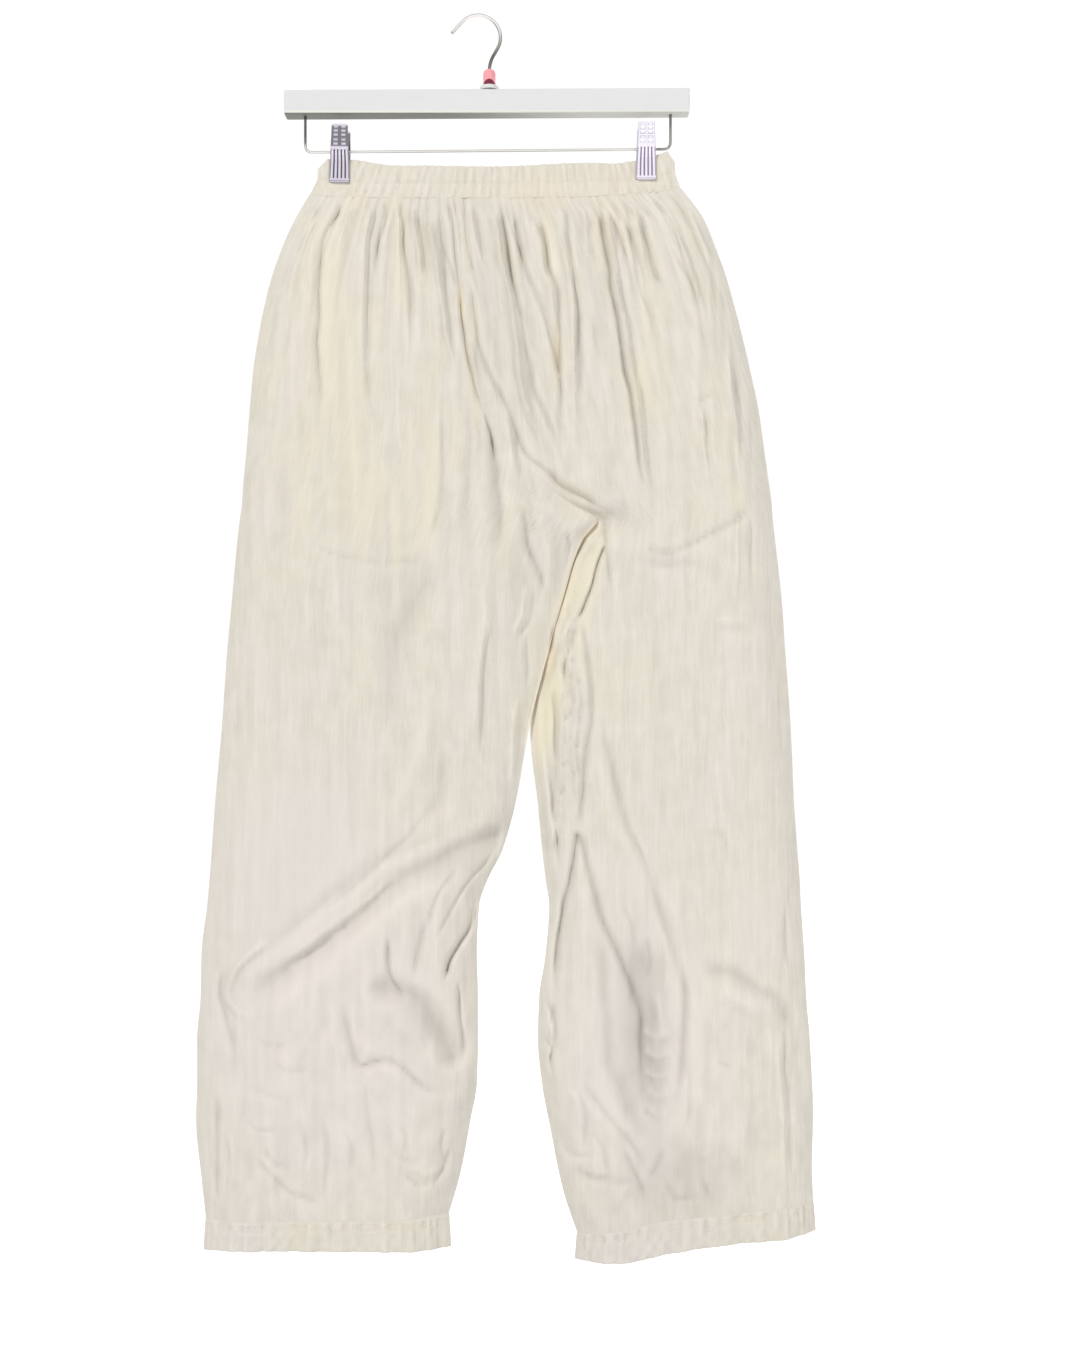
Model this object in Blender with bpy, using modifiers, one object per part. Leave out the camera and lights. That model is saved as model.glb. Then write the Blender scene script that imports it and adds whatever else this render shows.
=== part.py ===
"""Gauze trousers with an elastic waist, held by two spring clips on a bar hanger.

Metres, +Z up, the front of the trousers towards -Y. The origin is the inside top of the
hanger's hook, where a rail carries it. Left and right are those of someone facing the front.
"""

import math
from collections import namedtuple

import bmesh
import bpy
from mathutils import Matrix, Vector

MM = 0.001
SEAM_GAP = 0.3

# Cloth, in millimetres
PANEL_WALL = 1.2
BAND_WALL = 2.4
HEM_WALL = 1.8
BAG_WALL = 1.5
BAG_GAP = 0.4
FOLD_EDGE = 2.2
EDGE_ROUND = 60.0
LAP_LIFT = 2.6
LAP_REACH = 32.0
SHIFT_REACH = 80.0
EDGE_PLACES = (0.0, 6.0, 18.0)
OPEN_EDGE_PLACE = 2.0
MIDDLE_COLUMNS = 9
BAND_COLUMNS = 24
BAND_RIPPLE = 0.5
BAND_GRIP = 0.72
BAND_ROWS = (0.0, 0.36, BAND_GRIP, 1.0)
WAIST_HEIGHT = -163.0
WAIST_FADE = 90.0
HEM_HEIGHT = -1068.0
HEM_FADE = 150.0

# One row for each section, top to bottom. The five edges are where a panel's side or inner
# edge lies across. depth is half the hollow form's thickness, rise is how far out the front
# and back rise seams lie (0 below the crotch), shift is how far the legs pass each other
# where they cross, gather is the height of the pleats, and band is how much of the
# waistband's own form is left.
Section = namedtuple(
    "Section",
    "height outer_left front_left front_right back_left back_right outer_right"
    " depth rise shift gather band",
)
SECTIONS = [
    Section(*row)
    for row in (
        (-163, -148, -12, -13.5, 19.5, 18, 181, 10, 10, 0, 0.7, 1.0),
        (-187, -163, -9, -12, 19.5, 17, 201, 12, 12, 0, 3.0, 0.4),
        (-210, -174, -6, -10, 20, 16, 212, 14, 14, 0, 3.6, 0.1),
        (-241, -185, -3, -8, 21, 16, 224, 15, 15, 0, 3.2, 0.0),
        (-277, -193, 2, -4, 23, 17, 234, 16, 16, 0, 2.4, 0.0),
        (-315, -199, 10, 3, 27, 20, 243, 17, 17, 0, 1.6, 0.0),
        (-348, -202, 22, 15, 33, 26, 250, 17, 16, 0, 0.9, 0.0),
        (-397, -206, 47, 40, 53, 46, 257, 17, 13, 0, 0.4, 0.0),
        (-417, -208, 63, 58, 67, 62, 260, 17, 10, 0, 0.3, 0.0),
        (-434, -209, 85.6, 86.6, 85.6, 86.6, 262, 17, 7, 0, 0.2, 0.0),
        (-448, -211, 106.4, 108.4, 106.4, 108.4, 263, 17, 0, 0, 0.0, 0.0),
        (-456, -212, 101, 102.6, 101, 102.6, 264, 17, 0, 3.0, 0.0, 0.0),
        (-465, -213, 94, 91, 94, 91, 265, 17, 0, 3.8, 0.0, 0.0),
        (-520, -218, 76, 67, 76, 67, 271, 17, 0, 4.4, 0.0, 0.0),
        (-563, -222, 64, 54, 64, 54, 274, 17, 0, 4.4, 0.0, 0.0),
        (-634, -227, 46, 47.4, 46, 47.4, 279, 17, 0, 2.5, 0.0, 0.0),
        (-700, -233, 34, 54, 34, 54, 282, 16, 0, 0.5, 0.0, 0.0),
        (-742, -236, 22, 58, 22, 58, 285, 16, 0, 0, 0.0, 0.0),
        (-768, -238, 9, 61, 9, 61, 287, 16, 0, 0, 0.0, 0.0),
        (-790, -240, 2, 64, 2, 64, 288, 16, 0, 0, 0.0, 0.0),
        (-832, -245, 0, 61, 0, 61, 291, 16, 0, 0, 0.0, 0.0),
        (-873, -246, 1, 55, 1, 55, 293, 16, 0, 0, 0.0, 0.0),
        (-909, -249, 1, 54, 1, 54, 296, 15, 0, 0, 0.0, 0.0),
        (-949, -249, 0, 58, 0, 58, 298, 15, 0, 0, 0.0, 0.0),
        (-978, -250, -5, 64, -5, 64, 299, 15, 0, 0, 0.0, 0.0),
        (-1032, -245, -15, 76, -15, 76, 298, 14, 0, 0, 0.0, 0.0),
        (-1068, -241, -25, 89, -25, 89, 299, 13, 0, 0, 0.0, 0.0),
    )
]

# face is -1 for the front and 1 for the back. over marks the panel whose edge lies on top
# where two panels meet at a rise seam, and leg is -1 for the leg that passes in front.
Panel = namedtuple("Panel", "name outer inner face leg over")
PANELS = (
    Panel("front_left", "outer_left", "front_left", -1, -1, True),
    Panel("front_right", "outer_right", "front_right", -1, 1, False),
    Panel("back_left", "outer_left", "back_left", 1, -1, False),
    Panel("back_right", "outer_right", "back_right", 1, 1, True),
)

# The waistband from its left end to its right end. share is the place along it, top and
# seam are the heights of its two edges, and the depths are the hollow inside it.
BandPlace = namedtuple("BandPlace", "share top seam top_depth seam_depth")
BAND = [
    BandPlace(*row)
    for row in (
        (0.0, -127.0, -158.0, 0.15, 0.15),
        (0.04, -127.5, -160.0, 0.15, 1.6),
        (0.1, -128.6, -161.5, 0.15, 4.0),
        (0.14, -131.5, -162.5, 1.5, 6.0),
        (0.2, -134.3, -163.5, 4.0, 7.5),
        (0.3, -135.0, -164.0, 5.5, 8.5),
        (0.5, -136.0, -164.0, 6.5, 9.0),
        (0.72, -132.7, -163.0, 5.5, 8.5),
        (0.8, -132.0, -161.5, 4.0, 7.5),
        (0.84, -131.7, -160.5, 1.5, 6.0),
        (0.88, -130.0, -159.0, 0.15, 4.0),
        (0.97, -123.5, -155.0, 0.15, 1.6),
        (1.0, -120.0, -153.0, 0.15, 0.15),
    )
]
BAND_TOP_ENDS = (-133.0, 169.4)
BAND_SEAM_ENDS = (-148.0, 181.0)

# Where each hem's seam and lower edge lie, across both legs
HemPlace = namedtuple("HemPlace", "across seam edge")
HEM = [
    HemPlace(*row)
    for row in (
        (-242, -1069, -1096),
        (-199, -1068, -1093),
        (-85, -1066, -1093),
        (-28, -1064, -1093),
        (90, -1081, -1104),
        (125, -1076, -1104),
        (165, -1067, -1096),
        (219, -1061, -1087),
        (258, -1057, -1084),
        (298, -1054, -1079),
    )
]
HEM_SPREAD = 1.5

# The largest folds: a line from start to end on one face, how far it reaches on either
# side, and its height, which is negative for a crease that sinks in.
Fold = namedtuple("Fold", "face start_x start_z end_x end_z reach height")
FOLDS = [
    Fold(*row)
    for row in (
        (-1, 34, -716, -90, -790, 17, -5.0),
        (-1, -80, -782, -200, -868, 17, -4.5),
        (-1, 20, -750, -120, -850, 22, 3.0),
        (-1, -96, -868, -16, -936, 14, -4.0),
        (-1, -90, -905, -30, -975, 16, 2.5),
        (-1, 90, -722, 68, -860, 13, -4.0),
        (-1, 90, -726, 126, -850, 13, -4.0),
        (-1, 160, -840, 165, -1036, 26, -3.5),
        (-1, 59, -215, 76, -415, 12, -3.5),
        (-1, -141, -195, -141, -390, 12, -3.0),
        (-1, -35, -221, 8, -350, 12, -3.0),
        (-1, 123, -183, 148, -470, 14, 2.5),
        (1, 60, -700, 190, -800, 18, -4.5),
        (1, 150, -800, 262, -872, 18, -4.0),
        (1, -30, -730, -80, -880, 16, -4.0),
        (1, -150, -860, -140, -1040, 26, -3.5),
        (1, -30, -215, -48, -420, 13, -3.0),
        (1, 95, -200, 112, -400, 13, -3.0),
    )
]

# Pocket bags: corners of the outline, with a round stretch where there are three places
BAGS = {
    "pocket_bag_left": (
        "front_left",
        [
            ((-158, -176),),
            ((-184, -300),),
            ((-187, -415), (-160, -480), (-86, -486)),
            ((-58, -486), (-33, -482), (-33, -452)),
            ((-33, -340),),
            ((-48, -176),),
        ],
    ),
    "pocket_bag_right": (
        "front_right",
        [
            ((186, -176),),
            ((228, -300),),
            ((242, -425), (236, -446), (199, -461)),
            ((172, -474), (149, -478), (148, -450)),
            ((143, -374),),
            ((124, -176),),
        ],
    ),
}
ROUND_STEPS = 5

# Hanger, in millimetres
BAR_SIZE = (359.0, 14.5, 21.5)
BAR_CENTRE = (9.0, 0.0, -77.6)
BAR_TILT = math.radians(0.3)
BAR_EDGE = 1.4
BORE_DEPTH = 9.0
HOOK_WIRE = 1.45
HOOK_RADIUS = 19.9
HOOK_CENTRE = (1.0, -18.5)
HOOK_START = math.radians(138)
HOOK_END = math.radians(-30)
HOOK_TIP = 12.6
HOOK_NECK = 7.5
NECK_RADIUS = 26.0
SLEEVE_RADIUS = 5.5
SLEEVE_TOP = -47.5
SLEEVE_BOTTOM = -62.7
SLEEVE_DOME = 3.5
COLLAR_RADIUS = 8.9
COLLAR_TOP = -63.0
COLLAR_BOTTOM = -66.4
ROD_WIRE = 1.15
ROD_LEFT = (-152.6, -120.7)
ROD_RIGHT = (172.0, -117.8)
ROD_BEND = 6.5
BORE_CLEARANCE = 0.35

# The clips: across and turn of each, then a plate's shape from the top of its handle to the
# tip of its jaw, measured from the rod
CLIPS = {"clip_left": (-121.3, math.radians(-1.4)), "clip_right": (150.2, 0.0)}
ClipRow = namedtuple("ClipRow", "height outward half_width")
CLIP_ROWS = [
    ClipRow(*row)
    for row in (
        (21.6, 9.4, 7.1),
        (13.0, 9.0, 7.3),
        (6.0, 8.2, 7.7),
        (0.0, 7.0, 8.0),
        (-6.0, 5.4, 8.3),
        (-11.0, 4.3, 8.6),
        (-15.0, 4.0, 8.8),
        (-26.0, 4.0, 9.0),
        (-28.3, 4.8, 9.0),
    )
]
CLIP_SHEET = 1.0
EAR_SHEET = 1.0
EAR_HEIGHT = 7.0
EAR_PAST_ROD = 3.0
FRONT_EAR = 7.0
BACK_EAR = 5.6
SPRING_LENGTH = 8.4
SPRING_OUTSIDE = 3.0

COLLECTION_NAME = "gauze_trousers_on_clip_hanger"
MATERIALS = {
    "gauze": ((0.76, 0.70, 0.61), 0.95, 0.0),
    "white_paint": ((0.78, 0.78, 0.77), 0.45, 0.0),
    "chrome": ((0.80, 0.80, 0.82), 0.15, 1.0),
    "pink_plastic": ((0.93, 0.36, 0.38), 0.40, 0.0),
}


def clear_scene():
    for obj in list(bpy.data.objects):
        bpy.data.objects.remove(obj, do_unlink=True)


def make_collections():
    parts = bpy.data.collections.new(COLLECTION_NAME)
    cutters = bpy.data.collections.new("cutters")
    for collection in (parts, cutters):
        bpy.context.scene.collection.children.link(collection)
    return parts, cutters


def make_materials():
    made = {}
    for name, (colour, roughness, metallic) in MATERIALS.items():
        material = bpy.data.materials.new(name)
        material.use_nodes = True
        shader = material.node_tree.nodes["Principled BSDF"]
        shader.inputs["Base Color"].default_value = (*colour, 1.0)
        shader.inputs["Roughness"].default_value = roughness
        shader.inputs["Metallic"].default_value = metallic
        made[name] = material
    return made


def between(low, high, share):
    return low + (high - low) * share


def clamped(value):
    return max(0.0, min(1.0, value))


def smooth_step(value):
    value = clamped(value)
    return value * value * (3 - 2 * value)


def read_table(rows, key, column, place):
    """The column's value at a place, along straight lines between the rows."""
    for first, second in zip(rows, rows[1:]):
        start, end = getattr(first, key), getattr(second, key)
        if place <= end or second is rows[-1]:
            share = clamped((place - start) / (end - start))
            return between(getattr(first, column), getattr(second, column), share)


def band_value(column, across):
    left, right = BAND_SEAM_ENDS
    return read_table(BAND, "share", column, (across - left) / (right - left))


def true_height(height, across):
    """The height of a point of a section, which bends to meet the waist seam and the hem."""
    near_waist = clamped(1 - (WAIST_HEIGHT - height) / WAIST_FADE)
    near_hem = clamped(1 - (height - HEM_HEIGHT) / HEM_FADE)
    waist = band_value("seam", across) - WAIST_HEIGHT
    hem = read_table(HEM, "across", "seam", across) - HEM_HEIGHT
    seam_room = SEAM_GAP * (height == WAIST_HEIGHT)
    return height + near_waist * waist + near_hem * hem - seam_room


def edge_lens(distance):
    """How full the hollow form is at a distance from a folded edge, from 0 to 1."""
    return 1 - (1 - clamped(distance / EDGE_ROUND)) ** 2


def fold_height(face, across, height):
    """The sum of the large folds of one face at a point."""
    total = 0.0
    for fold in FOLDS:
        if fold.face != face:
            continue
        start = Vector((fold.start_x, fold.start_z))
        run = Vector((fold.end_x, fold.end_z)) - start
        offset = Vector((across, height)) - start
        share = clamped(offset.dot(run) / run.length_squared)
        away = (offset - run * share).length
        swell = math.sqrt(math.sin(math.pi * between(0.06, 0.94, share)))
        total += fold.height * swell * math.exp(-((away / fold.reach) ** 2))
    return total


def column_places(width, open_edge):
    """Where a panel's columns stand, as distances from its outer edge."""
    outer = [0.0, *EDGE_PLACES]
    inner = [width - place for place in reversed(EDGE_PLACES)]
    inner.append(width)
    if open_edge:
        inner[-2] = width - OPEN_EDGE_PLACE
    first, last = outer[-1], inner[0]
    steps = MIDDLE_COLUMNS + 1
    middle = [between(first, last, step / steps) for step in range(1, steps)]
    return outer + middle + inner


def panel_line(panel, row):
    """The outer face of a panel along one section, from its side edge to its inner edge."""
    outer_x = getattr(row, panel.outer)
    inner_x = getattr(row, panel.inner)
    width = abs(inner_x - outer_x)
    toward = 1 if inner_x > outer_x else -1
    on_rise = row.rise > 0
    places = column_places(width, on_rise)
    last = len(places) - 1
    points = []
    for index, place in enumerate(places):
        from_inner = width - place
        across = outer_x + toward * place
        lens = edge_lens(place)
        full = between(row.rise, row.depth, edge_lens(from_inner))
        band_depth = band_value("seam_depth", across) + BAND_WALL
        depth = between(lens * full, band_depth, row.band)
        from_edge = min(place, from_inner)
        in_middle = smooth_step((from_edge - EDGE_PLACES[1]) / EDGE_PLACES[-1])
        pleat = 0.75 + 0.25 * math.sin(2.1 * index)
        depth += row.gather * pleat * in_middle * (1 if index % 2 else -1)
        height = true_height(row.height, across)
        depth += in_middle * fold_height(panel.face, across, height)
        if on_rise and panel.over:
            depth += LAP_LIFT * clamped(1 - from_inner / LAP_REACH)
        depth = max(depth, FOLD_EDGE)
        if index == 0 or (index == last and not on_rise):
            depth = SEAM_GAP / 2
        shift = row.shift * (1 - smooth_step(from_inner / SHIFT_REACH))
        points.append(Vector((across, panel.face * depth + panel.leg * shift, height)))
    return points


def inward_line(points, distance, sign):
    """The line moved sideways within its own section. sign turns it to the hollow side."""
    steps = [second - first for first, second in zip(points, points[1:])]
    normals = [Vector((-step.y, step.x)).normalized() * sign for step in steps]
    normals = [normals[0], *normals, normals[-1]]
    moved = []
    for point, before, after in zip(points, normals, normals[1:]):
        mean = (before + after).normalized()
        offset = mean * (distance / max(0.6, mean.dot(after)))
        moved.append(point + Vector((offset.x, offset.y, 0.0)))
    return moved


def panel_lines(panel, inset):
    """Every section's line of a panel, moved into the hollow by inset."""
    toward = 1 if panel.outer == "outer_left" else -1
    sign = -toward * panel.face
    lines = [panel_line(panel, row) for row in SECTIONS]
    return [inward_line(line, inset, sign) for line in lines]


def wall_mesh(name, outer, inner, closed=False):
    """A wall between two faces, each a list of lines with the same number of points."""
    mesh = bmesh.new()
    faces = [
        [[mesh.verts.new(point * MM) for point in line] for line in side]
        for side in (outer, inner)
    ]
    count = len(outer[0])
    columns = count if closed else count - 1
    for face in faces:
        for upper, lower in zip(face, face[1:]):
            for column in range(columns):
                after = (column + 1) % count
                mesh.faces.new((upper[column], upper[after], lower[after]))
                mesh.faces.new((upper[column], lower[after], lower[column]))
    rims = [(faces[0][row], faces[1][row], columns) for row in (0, -1)]
    if not closed:
        for column in (0, -1):
            out, back = ([line[column] for line in face] for face in faces)
            rims.append((out, back, len(out) - 1))
    for out, back, steps in rims:
        for step in range(steps):
            after = (step + 1) % len(out)
            mesh.faces.new((out[step], out[after], back[after], back[step]))
    bmesh.ops.recalc_face_normals(mesh, faces=mesh.faces)
    data = bpy.data.meshes.new(name)
    mesh.to_mesh(data)
    mesh.free()
    return data


def add_part(name, data, material):
    part = bpy.data.objects.new(name, data)
    data.materials.append(materials[material])
    parts.objects.link(part)
    return part


def shade(part, angle=40):
    part.data.shade_smooth()
    part.data.set_sharp_from_angle(angle=math.radians(angle))


def add_panels():
    for panel in PANELS:
        data = wall_mesh(panel.name, panel_lines(panel, 0.0), panel_lines(panel, PANEL_WALL))
        shade(add_part(panel.name, data, "gauze"))


def round_stretch(corner):
    """Points along a corner: one place as it is, or three as a bend towards the middle one."""
    if len(corner) == 1:
        return [Vector(corner[0])]
    start, pull, end = (Vector(place) for place in corner)
    shares = [step / ROUND_STEPS for step in range(ROUND_STEPS + 1)]
    return [start.lerp(pull, share).lerp(pull.lerp(end, share), share) for share in shares]


def add_bags():
    """Each pocket bag is the front panel's own form, moved in and trimmed to its outline."""
    by_name = {panel.name: panel for panel in PANELS}
    reach = 60.0
    for name, (panel_name, corners) in BAGS.items():
        panel = by_name[panel_name]
        start = PANEL_WALL + BAG_GAP
        outer = panel_lines(panel, start)
        inner = panel_lines(panel, start + BAG_WALL)
        part = add_part(name, wall_mesh(name, outer, inner), "gauze")
        outline = [point for corner in corners for point in round_stretch(corner)]
        front, back = (
            [Vector((point.x, side * reach, point.y)) for point in outline]
            for side in (-1, 1)
        )
        trim = bmesh.new()
        rings = [[trim.verts.new(point * MM) for point in line] for line in (front, back)]
        for ring in rings:
            trim.faces.new(ring)
        for step in range(len(outline)):
            after = (step + 1) % len(outline)
            trim.faces.new((rings[0][step], rings[0][after], rings[1][after], rings[1][step]))
        bmesh.ops.recalc_face_normals(trim, faces=trim.faces)
        cutter = cutter_from(trim, name + "_outline")
        cut(part, cutter, "INTERSECT")
        shade(part)


def cutter_from(mesh, name):
    data = bpy.data.meshes.new(name)
    mesh.to_mesh(data)
    mesh.free()
    cutter = bpy.data.objects.new(name, data)
    cutter.hide_render = True
    cutter.display_type = "WIRE"
    cutters.objects.link(cutter)
    return cutter


def cut(part, cutter, operation):
    modifier = part.modifiers.new(cutter.name, "BOOLEAN")
    modifier.operation = operation
    modifier.solver = "EXACT"
    modifier.object = cutter


def add_waistband():
    """Front and back halves of the casing, sewn together at the sides."""
    for name, face in (("waistband_front", -1), ("waistband_back", 1)):
        outer, inner = [], []
        for down in BAND_ROWS:
            line = []
            opened = clamped((down - BAND_GRIP) / (1 - BAND_GRIP))
            for column in range(BAND_COLUMNS + 1):
                share = column / BAND_COLUMNS
                place = [read_table(BAND, "share", key, share) for key in BandPlace._fields]
                _, top, seam, top_depth, seam_depth = place
                across = between(
                    between(*BAND_TOP_ENDS, share), between(*BAND_SEAM_ENDS, share), down
                )
                depth = between(top_depth, seam_depth, opened) + BAND_WALL
                ripple = BAND_RIPPLE * clamped(top_depth - 1) * (column % 2)
                height = between(top, seam, down)
                line.append(Vector((across, face * (depth + ripple), height)))
            outer.append(line)
            inner.append(inward_line(line, BAND_WALL, -face))
        shade(add_part(name, wall_mesh(name, outer, inner), "gauze"))


def hem_ring(front, back, height_of):
    """One closed line round a leg, from the lowest lines of its two panels."""
    around = front[1:-1] + back[-2:0:-1]
    return [Vector((point.x, point.y, height_of(point.x))) for point in around]


def add_hems():
    last = SECTIONS[-1]
    by_name = {panel.name: panel for panel in PANELS}
    for side in ("left", "right"):
        name = "hem_" + side
        front, back = (
            panel_line(by_name[face + "_" + side], last) for face in ("front", "back")
        )
        seam = hem_ring(
            front, back, lambda x: read_table(HEM, "across", "seam", x) - SEAM_GAP
        )
        edge = hem_ring(front, back, lambda x: read_table(HEM, "across", "edge", x))
        middle_x = sum(point.x for point in edge) / len(edge)
        for point in edge:
            point.x += math.copysign(HEM_SPREAD, point.x - middle_x)
        sign = 1 if side == "left" else -1
        outer = [seam, edge]
        inner = [ring_inward(line, HEM_WALL, sign) for line in outer]
        shade(add_part(name, wall_mesh(name, outer, inner, closed=True), "gauze"))


def ring_inward(points, distance, sign):
    """A closed line moved to its own inside."""
    wrapped = [points[-1], *points, points[0]]
    return inward_line(wrapped, distance, sign)[1:-1]


def box_mesh(size):
    mesh = bmesh.new()
    bmesh.ops.create_cube(mesh, size=1.0)
    bmesh.ops.scale(mesh, vec=Vector(size) * MM, verts=mesh.verts)
    return mesh


def rod_cutter(name, radius, length, place, along_x=False):
    """A round cutter, upright or lying across."""
    mesh = bmesh.new()
    bmesh.ops.create_cone(
        mesh,
        cap_ends=True,
        segments=20,
        radius1=radius * MM,
        radius2=radius * MM,
        depth=length * MM,
    )
    if along_x:
        bmesh.ops.rotate(mesh, matrix=Matrix.Rotation(math.pi / 2, 3, "Y"), verts=mesh.verts)
    bmesh.ops.translate(mesh, vec=Vector(place) * MM, verts=mesh.verts)
    return cutter_from(mesh, name)


def add_bar():
    mesh = box_mesh(BAR_SIZE)
    bmesh.ops.bevel(
        mesh,
        geom=list(mesh.edges),
        offset=BAR_EDGE * MM,
        segments=3,
        profile=0.5,
        affect="EDGES",
    )
    data = bpy.data.meshes.new("hanger_bar")
    mesh.to_mesh(data)
    mesh.free()
    bar = add_part("hanger_bar", data, "white_paint")
    bar.location = Vector(BAR_CENTRE) * MM
    bar.rotation_euler = (0.0, -BAR_TILT, 0.0)
    half = BAR_SIZE[2] / 2
    for name, across, radius, side in (
        ("hook_bore", shank_across(), HOOK_WIRE, 1),
        ("left_bore", ROD_LEFT[0], ROD_WIRE, -1),
        ("right_bore", ROD_RIGHT[0], ROD_WIRE, -1),
    ):
        mouth = BAR_CENTRE[2] + side * half
        place = (across, 0.0, mouth)
        cutter = rod_cutter(name, radius + BORE_CLEARANCE, 2 * BORE_DEPTH, place)
        cut(bar, cutter, "DIFFERENCE")
    shade(bar, 50)


def arc(centre, radius, start, end, steps):
    angles = [between(start, end, step / steps) for step in range(steps + 1)]
    return [
        Vector((centre[0] + radius * math.cos(a), centre[1] + radius * math.sin(a)))
        for a in angles
    ]


def neck_start():
    """Where the hook's straight neck leaves the round part, and its direction."""
    end = arc(HOOK_CENTRE, HOOK_RADIUS, HOOK_END, HOOK_END, 1)[0]
    direction = Vector((math.sin(HOOK_END), -math.cos(HOOK_END)))
    return end, direction


def shank_across():
    end, direction = neck_start()
    return (end + direction * HOOK_NECK).x - NECK_RADIUS * (1 - math.cos(HOOK_END))


def add_wire(name, path, radius, material):
    """A round wire through the points, in the plane of the hanger."""
    data = bpy.data.curves.new(name, "CURVE")
    data.dimensions = "3D"
    data.bevel_depth = radius * MM
    data.bevel_resolution = 2
    data.use_fill_caps = True
    spline = data.splines.new("POLY")
    spline.points.add(len(path) - 1)
    for point, place in zip(spline.points, path):
        point.co = (place.x * MM, 0.0, place.y * MM, 1.0)
    part = bpy.data.objects.new(name, data)
    data.materials.append(materials[material])
    parts.objects.link(part)


def add_hook():
    end, direction = neck_start()
    bow = arc(HOOK_CENTRE, HOOK_RADIUS, HOOK_START, HOOK_END, 16)
    tip = bow[0] + Vector((-math.sin(HOOK_START), math.cos(HOOK_START))) * HOOK_TIP
    bend_start = end + direction * HOOK_NECK
    shank = shank_across()
    bend_centre = (
        shank + NECK_RADIUS,
        bend_start.y + NECK_RADIUS * math.sin(HOOK_END),
    )
    bend = arc(bend_centre, NECK_RADIUS, math.pi + HOOK_END, math.pi, 5)
    foot = Vector((shank, BAR_CENTRE[2] + BAR_SIZE[2] / 2 - BORE_DEPTH + 2 * SEAM_GAP))
    add_wire("hanger_hook", [tip, *bow, *bend, foot], HOOK_WIRE, "chrome")


def add_clip_rod():
    left, right = Vector(ROD_LEFT), Vector(ROD_RIGHT)
    slope = math.atan2(right.y - left.y, right.x - left.x)
    reach = ROD_BEND * math.tan((math.pi / 2 - slope) / 2)
    mouth = BAR_CENTRE[2] - BAR_SIZE[2] / 2 + BORE_DEPTH - 2 * SEAM_GAP
    steps = 5
    bends = []
    for corner, side in ((left, 1), (right, -1)):
        rise = corner + Vector((0.0, ROD_BEND))
        along = corner + Vector((math.cos(slope), math.sin(slope))) * side * ROD_BEND
        bend = [
            rise.lerp(corner, step / steps).lerp(corner.lerp(along, step / steps), step / steps)
            for step in range(steps + 1)
        ]
        bends.append(bend)
    path = [Vector((left.x, mouth)), *bends[0], *reversed(bends[1]), Vector((right.x, mouth))]
    add_wire("clip_rod", path, ROD_WIRE, "chrome")


def add_turned(name, profile, place, material, along_x=False):
    """A ring turned round its own axis, from a closed profile of (radius, height)."""
    mesh = bmesh.new()
    corners = [mesh.verts.new((radius * MM, 0.0, height * MM)) for radius, height in profile]
    for first, second in zip(corners, corners[1:] + corners[:1]):
        mesh.edges.new((first, second))
    data = bpy.data.meshes.new(name)
    mesh.to_mesh(data)
    mesh.free()
    part = add_part(name, data, material)
    screw = part.modifiers.new("turn", "SCREW")
    screw.angle = math.tau
    screw.steps = screw.render_steps = 24
    screw.use_merge_vertices = True
    screw.merge_threshold = 0.00001
    part.location = Vector(place) * MM
    if along_x:
        part.rotation_euler = (0.0, math.pi / 2, 0.0)
    return part


def add_sleeve():
    bore = HOOK_WIRE + BORE_CLEARANCE
    shoulder = [
        (
            SLEEVE_RADIUS - SLEEVE_DOME * (1 - math.cos(angle)),
            SLEEVE_TOP - SLEEVE_DOME * (1 - math.sin(angle)),
        )
        for angle in (math.radians(degrees) for degrees in (90, 60, 30, 0))
    ]
    sleeve = [(bore, SLEEVE_TOP), *shoulder, (SLEEVE_RADIUS, SLEEVE_BOTTOM)]
    sleeve.append((bore, SLEEVE_BOTTOM))
    place = (shank_across(), 0.0, 0.0)
    add_turned("hook_sleeve", sleeve, place, "pink_plastic")
    collar = [
        (bore, COLLAR_TOP),
        (COLLAR_RADIUS - 0.8, COLLAR_TOP),
        (COLLAR_RADIUS, COLLAR_TOP - 0.8),
        (COLLAR_RADIUS, COLLAR_BOTTOM),
        (bore, COLLAR_BOTTOM),
    ]
    add_turned("hook_collar", collar, place, "white_paint")


def rod_height(across):
    share = (across - ROD_LEFT[0]) / (ROD_RIGHT[0] - ROD_LEFT[0])
    return between(ROD_LEFT[1], ROD_RIGHT[1], share)


def clip_plate(face):
    """One bent plate of a clip, round the rod at the origin."""
    outer, inner = [], []
    for row in CLIP_ROWS:
        ends = [
            Vector((side * row.half_width, face * row.outward, row.height)) for side in (-1, 1)
        ]
        outer.append(ends)
        inner.append([end - Vector((0.0, face * CLIP_SHEET, 0.0)) for end in ends])
    return wall_mesh("clip_plate", outer, inner)


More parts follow.
